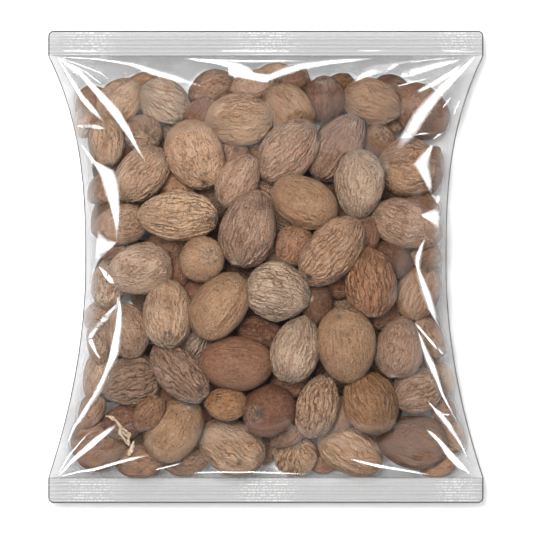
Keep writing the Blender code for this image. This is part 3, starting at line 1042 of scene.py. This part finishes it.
class Film:
    """The pouch's front and back sheets between the two seals, as grids over the bag's outline."""

    def __init__(self, nut_corners):
        self.u = crowded(FILM_COLUMNS, COLUMN_CROWDING)
        self.v = crowded(FILM_ROWS, ROW_CROWDING) * HALF_POUCH
        self.y, u = np.meshgrid(self.v, self.u, indexing="ij")
        self.x = u * heights.half_width(self.y)
        self.side_share = np.abs(self.x) / heights.half_width(self.y)
        self.end_share = np.abs(self.y) / HALF_POUCH
        from_side = (1 - np.abs(u)) * HIGH[0] * 0.85
        self.border = smoothstep(0, 5, np.minimum(from_side, HALF_POUCH - np.abs(self.y)))
        self.slack = self.empty_share(nut_corners)
        self.front = self.sheet(heights.front_grid, nut_corners, 1)
        self.back = np.maximum(self.sheet(heights.back_grid, nut_corners, -1), OFF_FLOOR)

    def sheet(self, grid, nut_corners, way):
        """The bag's own surface, stretched out over the nutmegs that push against it."""
        base = blurred(grid, 8)
        reached = self.reached(nut_corners, way)
        level = base
        for _ in range(3):
            short = np.clip(way * (reached - level), 0, None)
            level = level + way * blurred(short, 2) * 1.3
        level = level + way * np.clip(way * (reached - level), 0, None)
        return blurred(heights.read(blurred(level, 1), self.x, self.y), 2) + self.creases(way)

    def reached(self, nut_corners, way):
        """The furthest any nutmeg comes, in each cell of the bag's own grid."""
        found = np.full(heights.front_grid.shape, -1e3)
        column = np.round((nut_corners[:, 0] - heights.xs[0]) / heights.STEP).astype(int)
        row = np.round((nut_corners[:, 1] - heights.ys[0]) / heights.STEP).astype(int)
        np.maximum.at(found, (row, column), way * nut_corners[:, 2])
        wider = found
        for shift_row in (-1, 0, 1):
            for shift_column in (-1, 0, 1):
                wider = np.maximum(wider, np.roll(found, (shift_row, shift_column), axis=(0, 1)))
        return way * (wider + FILM_CLEARANCE)

    def empty_share(self, nut_corners):
        """1 where no nutmeg lies behind the film, at the sides and under the seals, and 0 elsewhere."""
        bare = self.reached(nut_corners, 1) < self.reached(nut_corners, -1)
        bare = blurred(np.where(bare, 1.0, 0.0), 2)
        open_share = smoothstep(0.01, 0.30, heights.read(bare, self.x, self.y))
        side = smoothstep(0.80, 0.90, self.side_share)
        end = smoothstep(0.50, 0.85, self.end_share)
        return open_share * (1 - SIDE_CLEARNESS * side * (1 - end))

    def creases(self, way):
        """Fine slack and the folds that fan out of the corners and run in from the sides."""
        places = np.stack([self.x, self.y, np.full_like(self.x, 60.0 * way)], axis=-1)
        slack = 0.10 * noise(places * 0.16, 901)
        puckers = 0
        for share, size, seed, (coarse, fine) in (
            (smoothstep(0.80, 0.97, self.side_share), (0.10, 0.42, 1.0), 902, (0.55, 0.22)),
            (smoothstep(0.84, 0.97, self.end_share), (0.30, 0.08, 1.0), 904, (0.40, 0.2)),
        ):
            drawn = places * np.array(size)
            puckers += coarse * share * noise(drawn, seed) + fine * share * noise(drawn * 2.3, seed + 1)
        return (slack + puckers) * self.border

    def height(self, x, y):
        """The front sheet's height at any places, read back from its grid."""
        u = np.clip(x / heights.half_width(y), -1, 1)
        column = np.interp(u, self.u, np.arange(FILM_COLUMNS))
        row = np.interp(y, self.v, np.arange(FILM_ROWS))
        return between_cells(self.front, column, row)

    def add_sheet(self, name, z, way):
        # The slack mask carries partly painted shade; the veil mask carries a painted reflection along the
        # sides.
        looks = {"slack": self.slack, "veil": smoothstep(VEIL_START, 1.0, self.side_share)}
        return add_film_grid(name, (self.x, self.y, z), way, looks)


def add_film_grid(name, places, way, looks):
    """A sheet of film from grids of its x, y and z, facing up or down, with a mask for each look."""
    rows, columns = places[0].shape
    corners = np.stack(places, axis=-1).reshape(-1, 3)
    faces = grid_faces(rows, columns)
    attributes = {"place": ("FLOAT_VECTOR", corners)}
    attributes |= {label: ("FLOAT", mask.reshape(-1)) for label, mask in looks.items()}
    return add_mesh(name, corners, [faces if way > 0 else faces[:, ::-1]], attributes)


def add_seal(name, way):
    """One end of the bag, where both sheets are pressed together into crimped ribs."""
    columns, rows = SEAL_MESH
    rise = np.linspace(0, 1, rows)
    y, u = np.meshgrid(way * (HALF_POUCH + rise * SEAL_DEPTH), np.linspace(-1, 1, columns), indexing="ij")
    x = u * heights.half_width(y)
    rib = np.cos(rise * 2 * math.pi * SEAL_RIBS)[:, None] * smoothstep(0, 0.08, rise)[:, None] + 0 * x
    places = np.stack([x, y, np.zeros_like(x)], axis=-1)
    wave = noise(places * np.array([0.08, 0.3, 1.0]), 911)
    wave = wave + 0.3 * noise(places * np.array([0.6, 0.1, 1.0]), 912)
    z = heights.edge(y) + SEAL_RELIEF * rib + SEAL_WAVE * wave
    gleam = sum(np.exp(-(((x - middle) / reach) ** 2)) for middle, reach in SEAL_GLEAMS)
    return add_film_grid(name, (x, y, z), way, {"rib": 0.5 + 0.5 * rib, "gleam": gleam})


def along(points, count):
    """Places at even steps along a line through the given points."""
    points = np.array(points, dtype=float)
    run = np.concatenate([[0], np.cumsum(np.linalg.norm(np.diff(points, axis=0), axis=1))])
    wanted = np.linspace(0, run[-1], count)
    return np.stack([np.interp(wanted, run, points[:, axis]) for axis in (0, 1)], axis=1)


def evened(values, window):
    """A running mean, with the ends held."""
    padded = np.pad(values, window // 2, mode="edge")
    return np.convolve(padded, np.ones(window) / window, mode="valid")


def tapered(steps, first, last, tip):
    """Near 0 at both ends of a strip, and 1 from a share of its length in."""
    return smoothstep(0, first, np.linspace(tip, 1, steps)) * smoothstep(0, last, np.linspace(1, 0.02, steps))


def fold_place(first, second):
    """One fold's strip of places, which stands off the front sheet and tilts to the nearer side."""
    one, other = along(first, FOLD_STEPS), along(second, FOLD_STEPS)
    middle = (one + other) / 2
    if np.dot((other - one).sum(axis=0), middle.mean(axis=0)) < 0:
        one, other = other, one
    width = np.linalg.norm(other - one, axis=1)
    level = evened(film.height(middle[:, 0], middle[:, 1]), FOLD_EVENING)
    place = one[None] + (other - one)[None] * FOLD_SHARES[:, :, None]
    flat = width.max() > FLAT_FOLD_WIDTH
    if flat:
        outward = (other - one).sum(axis=0)
        outward /= np.linalg.norm(outward)
        surface = level.mean() - math.tan(FOLD_TILT) * ((place - middle.mean(axis=0)) @ outward)
    else:
        climb = np.gradient(level) / (np.linalg.norm(np.gradient(middle, axis=0), axis=1) + 1e-6)
        fall = np.sqrt(np.clip(math.tan(FOLD_TILT) ** 2 - climb**2, 0.05, None))
        drop = fall * width * (FOLD_SHARES - 0.5) + FOLD_CUP * width * (2 * FOLD_SHARES - 1) ** 2
        surface = level - drop
    short = np.max(film.height(place[..., 0], place[..., 1]) - surface, axis=0)
    short = np.full(FOLD_STEPS, short.max()) if flat else evened(short, FOLD_EVENING)
    return np.concatenate([place, (surface + np.maximum(short, 0) + FOLD_LIFT)[..., None]], axis=2)


def add_folds(name):
    """The sharp folds of the front sheet: narrow facets that stand off it, tilted to the sides, with a
    painted highlight faded across them.
    """
    corners = np.concatenate([fold_place(*edges).reshape(-1, 3) for edges in FILM_FOLDS])
    count = len(FOLD_SHARES) * FOLD_STEPS
    faces = [grid_faces(len(FOLD_SHARES), FOLD_STEPS, fold * count) for fold in range(len(FILM_FOLDS))]
    fade = (tapered(FOLD_STEPS, 0.08, 0.3, 0.01) * FOLD_FADE).reshape(-1)
    attributes = {"place": ("FLOAT_VECTOR", corners), "fade": ("FLOAT", np.tile(fade, len(FILM_FOLDS)))}
    return add_mesh(name, corners, [np.concatenate(faces)], attributes)


def add_edge(name):
    """The bag's cut edge and its folded sides: a thin line all the way round."""
    along_side, along_end = EDGE_POINTS
    side_y = np.linspace(-HALF_LENGTH, HALF_LENGTH, along_side)
    side_x = heights.half_width(side_y)
    end_x = np.linspace(-1, 1, along_end)[1:-1] * side_x[0]
    end_y = np.full(len(end_x), HALF_LENGTH)
    path = np.concatenate(
        [
            np.stack([side_x, side_y], axis=1),
            np.stack([-end_x, end_y], axis=1),
            np.stack([-side_x, side_y], axis=1)[::-1],
            np.stack([end_x, -end_y], axis=1),
        ]
    )
    level = heights.edge(path[:, 1])
    ahead = np.roll(path, -1, axis=0) - np.roll(path, 1, axis=0)
    outward = np.stack([ahead[:, 1], -ahead[:, 0]], axis=1)
    outward /= np.linalg.norm(outward, axis=1)[:, None]
    rings = []
    for across, up in ((0, 1), (1, 1), (1, -1), (0, -1)):
        place = path + outward * EDGE_THICKNESS * 2 * (across - 0.25)
        rings.append(np.concatenate([place, (level + EDGE_THICKNESS * up)[:, None]], axis=1))
    start = np.arange(len(path))[:, None] * 4
    after = (np.arange(len(path))[:, None] + 1) % len(path) * 4
    side = np.arange(4)[None, :]
    next_side = (side + 1) % 4
    faces = np.stack([start + side, after + side, after + next_side, start + next_side], axis=-1)
    return add_mesh(name, np.stack(rings, axis=1).reshape(-1, 3), [faces.reshape(-1, 4)])


def add_end_creases(name):
    """The line pressed into the film along the inner edge of each seal, drawn dark with painted shade."""
    corners, faces = [], []
    for way in (-1, 1):
        faces.append(grid_faces(len(CREASE_RIDGE), CREASE_POINTS, len(corners) * CREASE_POINTS))
        x = np.linspace(-CREASE_REACH, CREASE_REACH, CREASE_POINTS) * heights.half_width(way * HALF_POUCH)
        for offset, lift in CREASE_RIDGE:
            y = np.full(CREASE_POINTS, way * HALF_POUCH + offset)
            corners.append(np.stack([x, y, heights.edge(y) + lift], axis=1))
    return add_mesh(name, np.concatenate(corners), [np.concatenate(faces)])


def add_husk_shred(name):
    """A torn pale fringe of husk, pressed between the film and the nutmegs at the bottom left."""
    corners, faces = [], []
    for strand, (path, half_width) in enumerate(HUSK_STRANDS):
        middle = along(path, HUSK_STEPS)
        ahead = np.gradient(middle, axis=0)
        outward = np.stack([-ahead[:, 1], ahead[:, 0]], axis=1) / np.linalg.norm(ahead, axis=1)[:, None]
        places = np.concatenate([middle, np.full((HUSK_STEPS, 1), 7.0 * strand)], axis=1)
        ragged = half_width * (1 + 0.9 * noise(places * 0.9, 921))
        ragged *= tapered(HUSK_STEPS, 0.15, 0.15, 0.02)
        place = middle[None] + outward[None] * (ragged * HUSK_SHARES)[:, :, None]
        curl = HUSK_CURL * (1 - HUSK_SHARES**2) + 0.15 * noise(places * 1.7, 922)
        level = film.height(place[..., 0], place[..., 1]) - FILM_CLEARANCE - HUSK_DEPTH + curl
        faces.append(grid_faces(len(HUSK_SHARES), HUSK_STEPS, strand * len(HUSK_SHARES) * HUSK_STEPS))
        corners.append(np.concatenate([place, level[..., None]], axis=2).reshape(-1, 3))
    corners = np.concatenate(corners)
    return add_mesh(name, corners, [np.concatenate(faces)], {"place": ("FLOAT_VECTOR", corners)})


def husk_material():
    """Dry, straw-pale husk with darker threads."""
    material, n, shader = new_material("pale_husk")
    threads = n.noise(n.attribute("place", "Vector"), 1.6, 3.0, 0.6)
    straw = n.mix(n.ramp(threads, 0.38, 0.60), (0.20, 0.13, 0.075, 1), (0.50, 0.38, 0.24, 1))
    n.link(straw, shader.inputs["Base Color"])
    n.link(n.ramp(threads, 0.3, 0.7, 0.6, 0.8), shader.inputs["Roughness"])
    return material


def grey(shade):
    return (shade, shade, shade, 1)


def film_material(
    name, haze, shade, gloss, roughness, dimming_and_painted_shade=1.0, slack_haze=0.0, painted_reflection_haze=0.0, sparkle=False, fades=False
):
    """Clear film: see-through face on, greyer where it slopes away or hangs slack, with a clean gloss. Its
    slack parts are darker to see through, partly as painted shade, and a milky band along its sides is a
    painted reflection.
    """
    material, n, body = new_material(name)
    body.inputs["Base Color"].default_value = grey(shade)
    body.inputs["Roughness"].default_value = 0.45
    body.inputs["Specular IOR Level"].default_value = 0.1
    facing = n.add("ShaderNodeLayerWeight")
    facing.inputs["Blend"].default_value = 0.5
    steep = n.ramp(facing.outputs["Facing"], 0.50, 0.95)
    cover = n.math("MULTIPLY_ADD", steep, 0.06, haze)
    clear = n.add("ShaderNodeBsdfTransparent")
    if slack_haze:
        marks = n.group(groups["marks"], Place=n.attribute("place", "Vector"), Rib=0.0, Gleam=0.0)
        # Slack film: milky and darker to see through, partly the haze of loose film, partly painted shade.
        slack = n.attribute("slack")
        streaky = n.math("MULTIPLY_ADD", marks["Wisps"], 0.3, 0.85)
        cover = n.math("MULTIPLY_ADD", n.math("MULTIPLY", slack, streaky), slack_haze, cover)
        # Painted reflection: a milky band along the steep sides.
        cover = n.math("MULTIPLY_ADD", n.attribute("veil"), painted_reflection_haze, cover)
        dim = n.math("MAXIMUM", slack, n.math("MULTIPLY", steep, 0.15))
        n.link(n.mix(dim, grey(1), grey(dimming_and_painted_shade)), clear.inputs["Color"])
    if sparkle:
        marks = n.group(groups["marks"], Place=n.attribute("place", "Vector"), **n.masks("rib", "gleam"))
        lines = n.mix(marks["Lines"], grey(shade * LINE_SHADE), grey(shade))
        # Painted glints: small bright spots mixed into the seal's colour.
        n.link(n.mix(marks["Sparkle"], lines, grey(PAINTED_GLINT_SHADE)), body.inputs["Base Color"])
    shine = n.math("MULTIPLY", n.math("ADD", n.add("ShaderNodeFresnel").outputs[0], 0.03), gloss)
    if fades:
        fade = n.attribute("fade")
        cover = n.math("MULTIPLY", cover, fade)
        shine = n.math("MULTIPLY", shine, fade)
    mirror = n.add("ShaderNodeBsdfGlossy")
    mirror.inputs["Roughness"].default_value = roughness
    hazy = n.blend_shaders(n.math("MINIMUM", cover, 0.97), clear.outputs[0], body.outputs[0])
    coated = n.blend_shaders(n.math("MINIMUM", shine, 0.9), hazy, mirror.outputs[0])
    n.link(coated, material.node_tree.nodes["Material Output"].inputs["Surface"])
    return material


def edge_material():
    """The dark line that the film makes where it is seen edge on, painted as a near black colour: painted
    shade.
    """
    material, _, shader = new_material("film_edge")
    shader.inputs["Base Color"].default_value = grey(0.035)
    shader.inputs["Roughness"].default_value = 0.4
    return material


def build_film_marks():
    """Faint milky wisps of slack film, and the dashes of a crimped seal with glints painted on as small
    bright spots.
    """
    n, given, out = new_group(
        "Film Marks", {"Place": "Vector"} | floats("Rib", "Gleam"), floats("Wisps", "Sparkle", "Lines")
    )
    place, rib = given["Place"], given["Rib"]
    wisps = n.noise(n.stretch(place, (0.10, 0.12, 0.10)), 1.0, 3.0, 0.5)
    n.link(n.ramp(wisps, 0.46, 0.66), out["Wisps"])
    dash = n.noise(n.stretch(place, (1.7, 0.9, 0.1)), 1.0, 1.0, 0.5)
    crest = n.ramp(rib, 0.35, 0.10)
    # Painted glints, in patches along the seal.
    glint = n.math("MULTIPLY", n.ramp(dash, 0.46, 0.58), n.ramp(given["Gleam"], 0.15, 1.0))
    n.link(n.math("MULTIPLY", n.math("MULTIPLY", glint, crest), 0.45), out["Sparkle"])
    dots = n.ramp(n.noise(n.stretch(place, (1.3, 0.3, 0.1)), 1.0, 1.0), 0.40, 0.60)
    line = n.math("MULTIPLY", n.ramp(rib, 0.70, 1.0), n.math("MULTIPLY_ADD", dots, 0.6, 0.4))
    n.link(n.math("SUBTRACT", 1.0, line), out["Lines"])
    return n.tree


# The strands of the husk shred: the line each one follows, and half its width.
HUSK_STRANDS = [
    ([(-55.2, -51.1), (-53.2, -51.5), (-51.3, -52.7), (-49.8, -54.8), (-50.1, -57), (-48.4, -59.3),
      (-47.1, -61.3)], 0.55),
    ([(-49.9, -55.2), (-48.2, -56), (-46.8, -57.6), (-47.2, -59.8), (-47, -61.6)], 0.50),
    ([(-49.2, -56.4), (-48.3, -57.6), (-47, -58.4)], 0.55),
    ([(-45.3, -59.6), (-45.8, -61.7), (-46.4, -63.2), (-47.3, -65)], 0.70),
]
HUSK_STEPS = 40
HUSK_SHARES = np.linspace(-1, 1, 5)[:, None]
HUSK_CURL = 0.45
HUSK_DEPTH = 0.1

# The sharp folds of the front sheet, each as its two edges, from corner or seal to tip.
FILM_FOLDS = [
    # Top left corner.
    ([(-71.5, 72.2), (-64, 68), (-55, 59), (-50, 54), (-46.5, 48), (-43.5, 41), (-40.5, 35)],
     [(-71.7, 72), (-66, 67), (-60, 60.5), (-55, 54.5), (-50, 47.5), (-45, 40.5), (-40.8, 34.8)]),
    ([(-71.6, 72), (-68, 67), (-62.5, 59), (-58.5, 54.5), (-55, 49.5)],
     [(-71.9, 71.8), (-69, 66), (-64, 57.5), (-60.5, 53.5), (-55.5, 49.2)]),
    ([(-71, 72.5), (-60, 72.2), (-45, 70.5), (-40, 69), (-30, 66), (-20, 61.8)],
     [(-71, 72.2), (-58, 71.2), (-47, 69.2), (-40, 66), (-30, 62.8), (-20.3, 61.5)]),
    ([(-71.5, 72.2), (-62, 67.4), (-54.5, 61.6)], [(-71.6, 71.9), (-62.2, 66.9), (-54.8, 61.2)]),
    ([(-71.6, 72), (-64, 65.7), (-57.6, 59.6)], [(-71.7, 71.8), (-64.3, 65.3), (-57.9, 59.2)]),
    ([(-71.5, 72.4), (-65, 70.3), (-57, 67.3), (-53, 63.7)],
     [(-71.5, 72.1), (-65, 69.6), (-57, 66.6), (-53.4, 63.3)]),
    ([(-65, 48.9), (-60, 49.2), (-54.6, 48)], [(-64.6, 47.6), (-60, 47.4), (-55, 46.8)]),
    # Left side, from the top down.
    ([(-63, 42.2), (-58, 36), (-55, 34.6), (-51.8, 33.2), (-50.5, 30), (-49.8, 25), (-49.8, 20),
      (-50, 15), (-50.9, 9.5)],
     [(-63.2, 41.6), (-61, 38), (-58.2, 34), (-56.5, 30), (-55, 25), (-53.3, 20), (-51.9, 15),
      (-51.1, 9.5)]),
    ([(-57.5, 12.8), (-54, 9.4), (-50.6, 8.6)], [(-58.5, 1.3), (-55.6, 3.4), (-50.7, 8.2)]),
    ([(-57.2, 0.2), (-54.3, -1.8), (-51.3, -5)], [(-57, -0.4), (-54.6, -4.6), (-52.2, -6.7)]),
    ([(-61.8, -24.6), (-59.5, -20.9), (-55.4, -16.4), (-50.2, -11.2)],
     [(-59.5, -25), (-57.4, -21.3), (-53.3, -17.6), (-50, -11.9)]),
    ([(-61.5, -25.2), (-59.5, -28.3), (-56.8, -32.1)], [(-59, -24.6), (-57.9, -28.5), (-56.6, -31.9)]),
    ([(-50, -9.5), (-49, -15), (-48.7, -20), (-49.5, -28), (-50.5, -31.2), (-53.3, -36.1),
      (-55.9, -42.7), (-60.1, -48.4), (-65.4, -55.8), (-69, -64)],
     [(-50.8, -10.5), (-51.5, -16), (-51.9, -20), (-53.4, -28), (-54, -31.5), (-55.6, -36.1),
      (-58.7, -42.7), (-62.4, -48.4), (-66.9, -55.8), (-69.6, -64.2)]),
    # Bottom left corner.
    ([(-71.8, -71.5), (-68, -64.6), (-62, -58.1), (-58, -54.8)],
     [(-71.6, -71.8), (-67.6, -65.4), (-62.4, -58.9), (-58.3, -55.2)]),
    ([(-71.5, -72), (-66, -65), (-60, -59.5), (-54, -55), (-51, -53.4)],
     [(-71.3, -72.2), (-64.5, -66.2), (-58, -61), (-52, -56), (-50.8, -53.8)]),
    ([(-71.2, -72.2), (-66, -70.6), (-60, -69.3), (-55, -67.8), (-50, -66.3), (-45, -65.2),
      (-40, -64.3)],
     [(-71, -72.5), (-66, -71.6), (-60, -70.7), (-55, -69.2), (-50, -67.7), (-45, -66.4), (-40, -64.7)]),
    ([(-38, -69.6), (-29, -67.2)], [(-38, -70.1), (-29, -67.7)]),
    # Along the top seal's inner edge.
    ([(-70, 74.7), (-56, 74.7)], [(-70, 74.2), (-56, 74.2)]),
    ([(-16, 74.7), (10, 74.7)], [(-16, 74.2), (10, 74.2)]),
    ([(32, 74.7), (41, 74.7)], [(32, 74.3), (41, 74.3)]),
    ([(61, 74.9), (71.5, 74.3)], [(61, 74.4), (71.5, 73.8)]),
    # Under the top seal.
    ([(-28, 72), (-15, 71.6), (-5, 71.4), (5, 71.6), (14, 71.2)],
     [(-28, 71.6), (-15, 70.8), (-5, 70.2), (5, 70.5), (14, 70.6)]),
    ([(1.6, 66.2), (-3.6, 66.8), (-6.5, 69.2), (-10, 70.6), (-18, 71.2), (-28, 71.9)],
     [(1.2, 62.8), (-6.6, 64.2), (-13, 65.4), (-12.6, 68.2), (-17, 69.6), (-28, 71.2)]),
    ([(-2.6, 65.6), (3, 67.4), (6.4, 69.2), (12, 71), (22, 71.9), (38, 72.4)],
     [(-1.6, 62.6), (5, 64.8), (12, 67.3), (19, 68.8), (27, 70), (38, 71.6)]),
    # Top right corner.
    ([(30, 63.5), (33, 67.5), (36, 69.4), (44, 70.6), (56, 71.8), (68, 72.5)],
     [(30.4, 63.3), (35, 65), (40, 66.4), (43, 67.1), (46, 69.6), (56, 71.1), (68, 72.1)]),
    ([(45.6, 65.6), (47.2, 68), (51.4, 69.6), (58.5, 71.2), (68, 72.2)],
     [(46.3, 65), (50.4, 65.1), (55.6, 66.9), (60.8, 68.6), (68.2, 71)]),
    ([(45, 62.3), (56, 65.3)], [(45.2, 61.8), (56.2, 64.7)]),
    ([(51.8, 60.8), (57.6, 64), (62.6, 67.2), (68, 70.6)],
     [(52.4, 59.6), (58.7, 62.3), (63.8, 65.3), (68.3, 69)]),
    ([(71.5, 72.3), (66.2, 67.9), (59.2, 62), (53.8, 56.8), (50, 52.5), (47.6, 48), (45.6, 43.8),
      (44.2, 39.6)],
     [(72, 71.8), (67.4, 66.2), (61.2, 59.2), (57.4, 54), (54.2, 49), (51.6, 44.8), (48, 41.8),
      (44.6, 39.2)]),
    ([(60.7, 54.9), (62.2, 57), (63.7, 58.6)], [(61.2, 54.6), (62.8, 56.6), (63.9, 58.3)]),
    ([(64.4, 52.4), (65.6, 55.6), (66.8, 57.6)], [(64.9, 52.2), (66.2, 55.2), (67.1, 57.4)]),
    ([(51.4, 45.4), (54, 46.2), (56.3, 45.9)], [(51.4, 45), (54, 45.2), (56.3, 45.6)]),
    ([(57.6, 44.2), (59.2, 45.8), (61, 46.2)], [(57.6, 43.6), (59.6, 44.8), (61.1, 45.8)]),
    # Right side, from the top down.
    ([(57.2, 42.2), (53, 38.5), (50, 35.3), (52, 32.5), (55, 27.5), (56.5, 24.5)],
     [(57.4, 41.8), (56.3, 37), (56.4, 34), (57, 30), (57.1, 27), (57, 24.5)]),
    ([(56.4, 24.8), (60.6, 24.6)], [(57, 24.1), (59, 20.9)]),
    ([(53, 17.9), (56, 19.4), (59.6, 21)], [(53.2, 17.5), (56.5, 14.8), (59.8, 11.8)]),
    ([(54.5, 10), (52.5, 7), (51, 4), (50.7, 1.5), (51.5, -2), (52, -6), (53, -10), (55, -14),
      (57.5, -18), (60.5, -22.5)],
     [(54.6, 9.7), (54, 6), (53.3, 2), (53.2, -1), (55, -5), (57, -9), (58, -14), (59, -18),
      (60.8, -22.3)]),
    ([(51.3, -18.8), (57, -25.4), (62, -30.7)], [(51.1, -19.8), (56.8, -26.7), (62, -31.5)]),
    ([(51.8, -21.8), (53, -27), (54.5, -33), (58, -39), (60, -44), (63, -49), (68, -57.6)],
     [(52.2, -21.8), (56, -29), (58.5, -33.5), (60, -39), (61.5, -44), (63.8, -49), (68.2, -57.2)]),
    # Bottom right corner.
    ([(55.3, -45.8), (58, -50), (61, -54), (65, -59), (68, -63.5), (71.5, -71.5)],
     [(55.6, -45.7), (58.2, -48.4), (61.2, -50.3), (64.4, -54.6), (68.2, -61.6), (71.8, -71.3)]),
    ([(61, -50.2), (64, -50.8)], [(61, -50.8), (64, -51.3)]),
    ([(54.8, -56.1), (59, -60.3), (62, -65), (66, -69.6), (71.2, -72.2)],
     [(55.2, -55.8), (57.4, -56.9), (61, -60), (65, -64.5), (68, -67.8), (71.4, -72)]),
    ([(29, -65.8), (33, -66.5), (40, -68), (50, -70), (57, -71.6)],
     [(29, -66.2), (33, -67.6), (40, -69.5), (47, -70.4), (57, -72)]),
    # Above the bottom seal.
    ([(-25, -70.7), (-15, -70.3), (-5, -70.3), (5, -70.7), (15, -71.2)],
     [(-25, -71.2), (-15, -70.9), (-5, -70.9), (5, -71.3), (15, -71.7)]),
]

groups["marks"] = build_film_marks()
nut_corners = np.concatenate([np.array([v.co for v in piece.data.vertices]) for piece in shells]) / MM
film = Film(nut_corners)
clear_film = film_material("clear_film", 0.004, 0.54, 0.10, 0.10, dimming_and_painted_shade=0.70, slack_haze=0.28, painted_reflection_haze=0.40)
crimped_film = film_material("crimped_film", 0.90, 0.31, 0.16, 0.35, sparkle=True)
# The folds' milky white body is a painted highlight; their strong gloss reflects the panels.
folded_film_painted_highlight = film_material("folded_film_painted_highlight", 0.32, 0.90, 1.9, 0.14, fades=True)
# The creases' dark body is painted shade; their bright line comes from the gloss.
creased_film_painted_shade = film_material("creased_film_painted_shade", 0.55, 0.16, 1.0, 0.2)
finish_piece(film.add_sheet("film_front", film.front, 1), clear_film)
finish_piece(film.add_sheet("film_back", film.back, -1), clear_film)
finish_piece(add_seal("film_seal_top", 1), crimped_film)
finish_piece(add_seal("film_seal_bottom", -1), crimped_film)
finish_piece(add_folds("film_folds"), folded_film_painted_highlight)
finish_piece(add_end_creases("film_end_creases"), creased_film_painted_shade)
finish_piece(add_husk_shred("husk_shred"), husk_material())
finish_piece(add_edge("film_edge"), edge_material())


# ---------------------------------------------------------------- stage, light and camera


def soft_light(name, place, size, power, in_gloss=False):
    """A square soft box. One that isn't seen in gloss leaves the film over the middle clear."""
    lamp = bpy.data.lights.new(name, "AREA")
    lamp.shape = "RECTANGLE"
    lamp.size, lamp.size_y = size
    lamp.energy = power
    holder = bpy.data.objects.new(name, lamp)
    holder.location = place
    holder.rotation_euler = (Vector(AIM) - Vector(place)).to_track_quat("-Z", "Y").to_euler()
    holder.visible_glossy = in_gloss
    bpy.context.scene.collection.objects.link(holder)
    return holder


FLOOR_REACH = 1500
ROOM_LIGHT = 0.12
AIM = (0, 0, 0.02)
KEY_LIGHT = {"place": (-0.16, 0.20, 1.22), "size": (0.35, 0.35), "power": 21.0}
OVERHEAD_LIGHT = {"place": (-0.08, 0.06, 1.30), "size": (1.1, 1.1), "power": 16.0}
PANELS = 8
PANEL_REACH = 1.4
PANEL_HEIGHT = 0.55
CAMERA_PLACE = (0.00024, 0.0001)
CAMERA_DISTANCE = 3.0
SENSOR_WIDTH = 36
VIEW_WIDTH = 0.1839


def build_stage():
    """A pale floor, two soft lamps from above, and a ring of panels that only the gloss shows."""
    corners = np.array([(-1, -1, 0), (1, -1, 0), (1, 1, 0), (-1, 1, 0)], dtype=float) * FLOOR_REACH
    floor = add_mesh("floor", corners, [np.array([[0, 1, 2, 3]])], smooth=False)
    material, _, shader = new_material("pale_floor")
    shader.inputs["Base Color"].default_value = grey(0.97)
    shader.inputs["Roughness"].default_value = 0.8
    shader.inputs["Specular IOR Level"].default_value = 0.0
    floor.data.materials.append(material)
    world = bpy.data.worlds.new("soft_room")
    world.use_nodes = True
    world.node_tree.nodes["Background"].inputs["Color"].default_value = grey(1)
    world.node_tree.nodes["Background"].inputs["Strength"].default_value = ROOM_LIGHT
    bpy.context.scene.world = world
    soft_light("key", **KEY_LIGHT)
    soft_light("overhead", **OVERHEAD_LIGHT)
    for step in range(PANELS):
        turn = 2 * math.pi * step / PANELS
        place = (PANEL_REACH * math.cos(turn), PANEL_REACH * math.sin(turn), PANEL_HEIGHT)
        panel = soft_light(f"panel_{step}", place, (1.15, 0.5), 14.0, in_gloss=True)
        panel.visible_diffuse = False


def build_camera():
    camera = bpy.data.cameras.new("camera")
    camera.sensor_width = SENSOR_WIDTH
    camera.lens = SENSOR_WIDTH * CAMERA_DISTANCE / VIEW_WIDTH
    camera.clip_end = 20
    holder = bpy.data.objects.new("camera", camera)
    holder.location = (*CAMERA_PLACE, SEAL_HEIGHT * MM + CAMERA_DISTANCE)
    bpy.context.scene.collection.objects.link(holder)
    bpy.context.scene.camera = holder


build_stage()
build_camera()
bpy.context.scene.view_settings.view_transform = "Standard"
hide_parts(BAG)
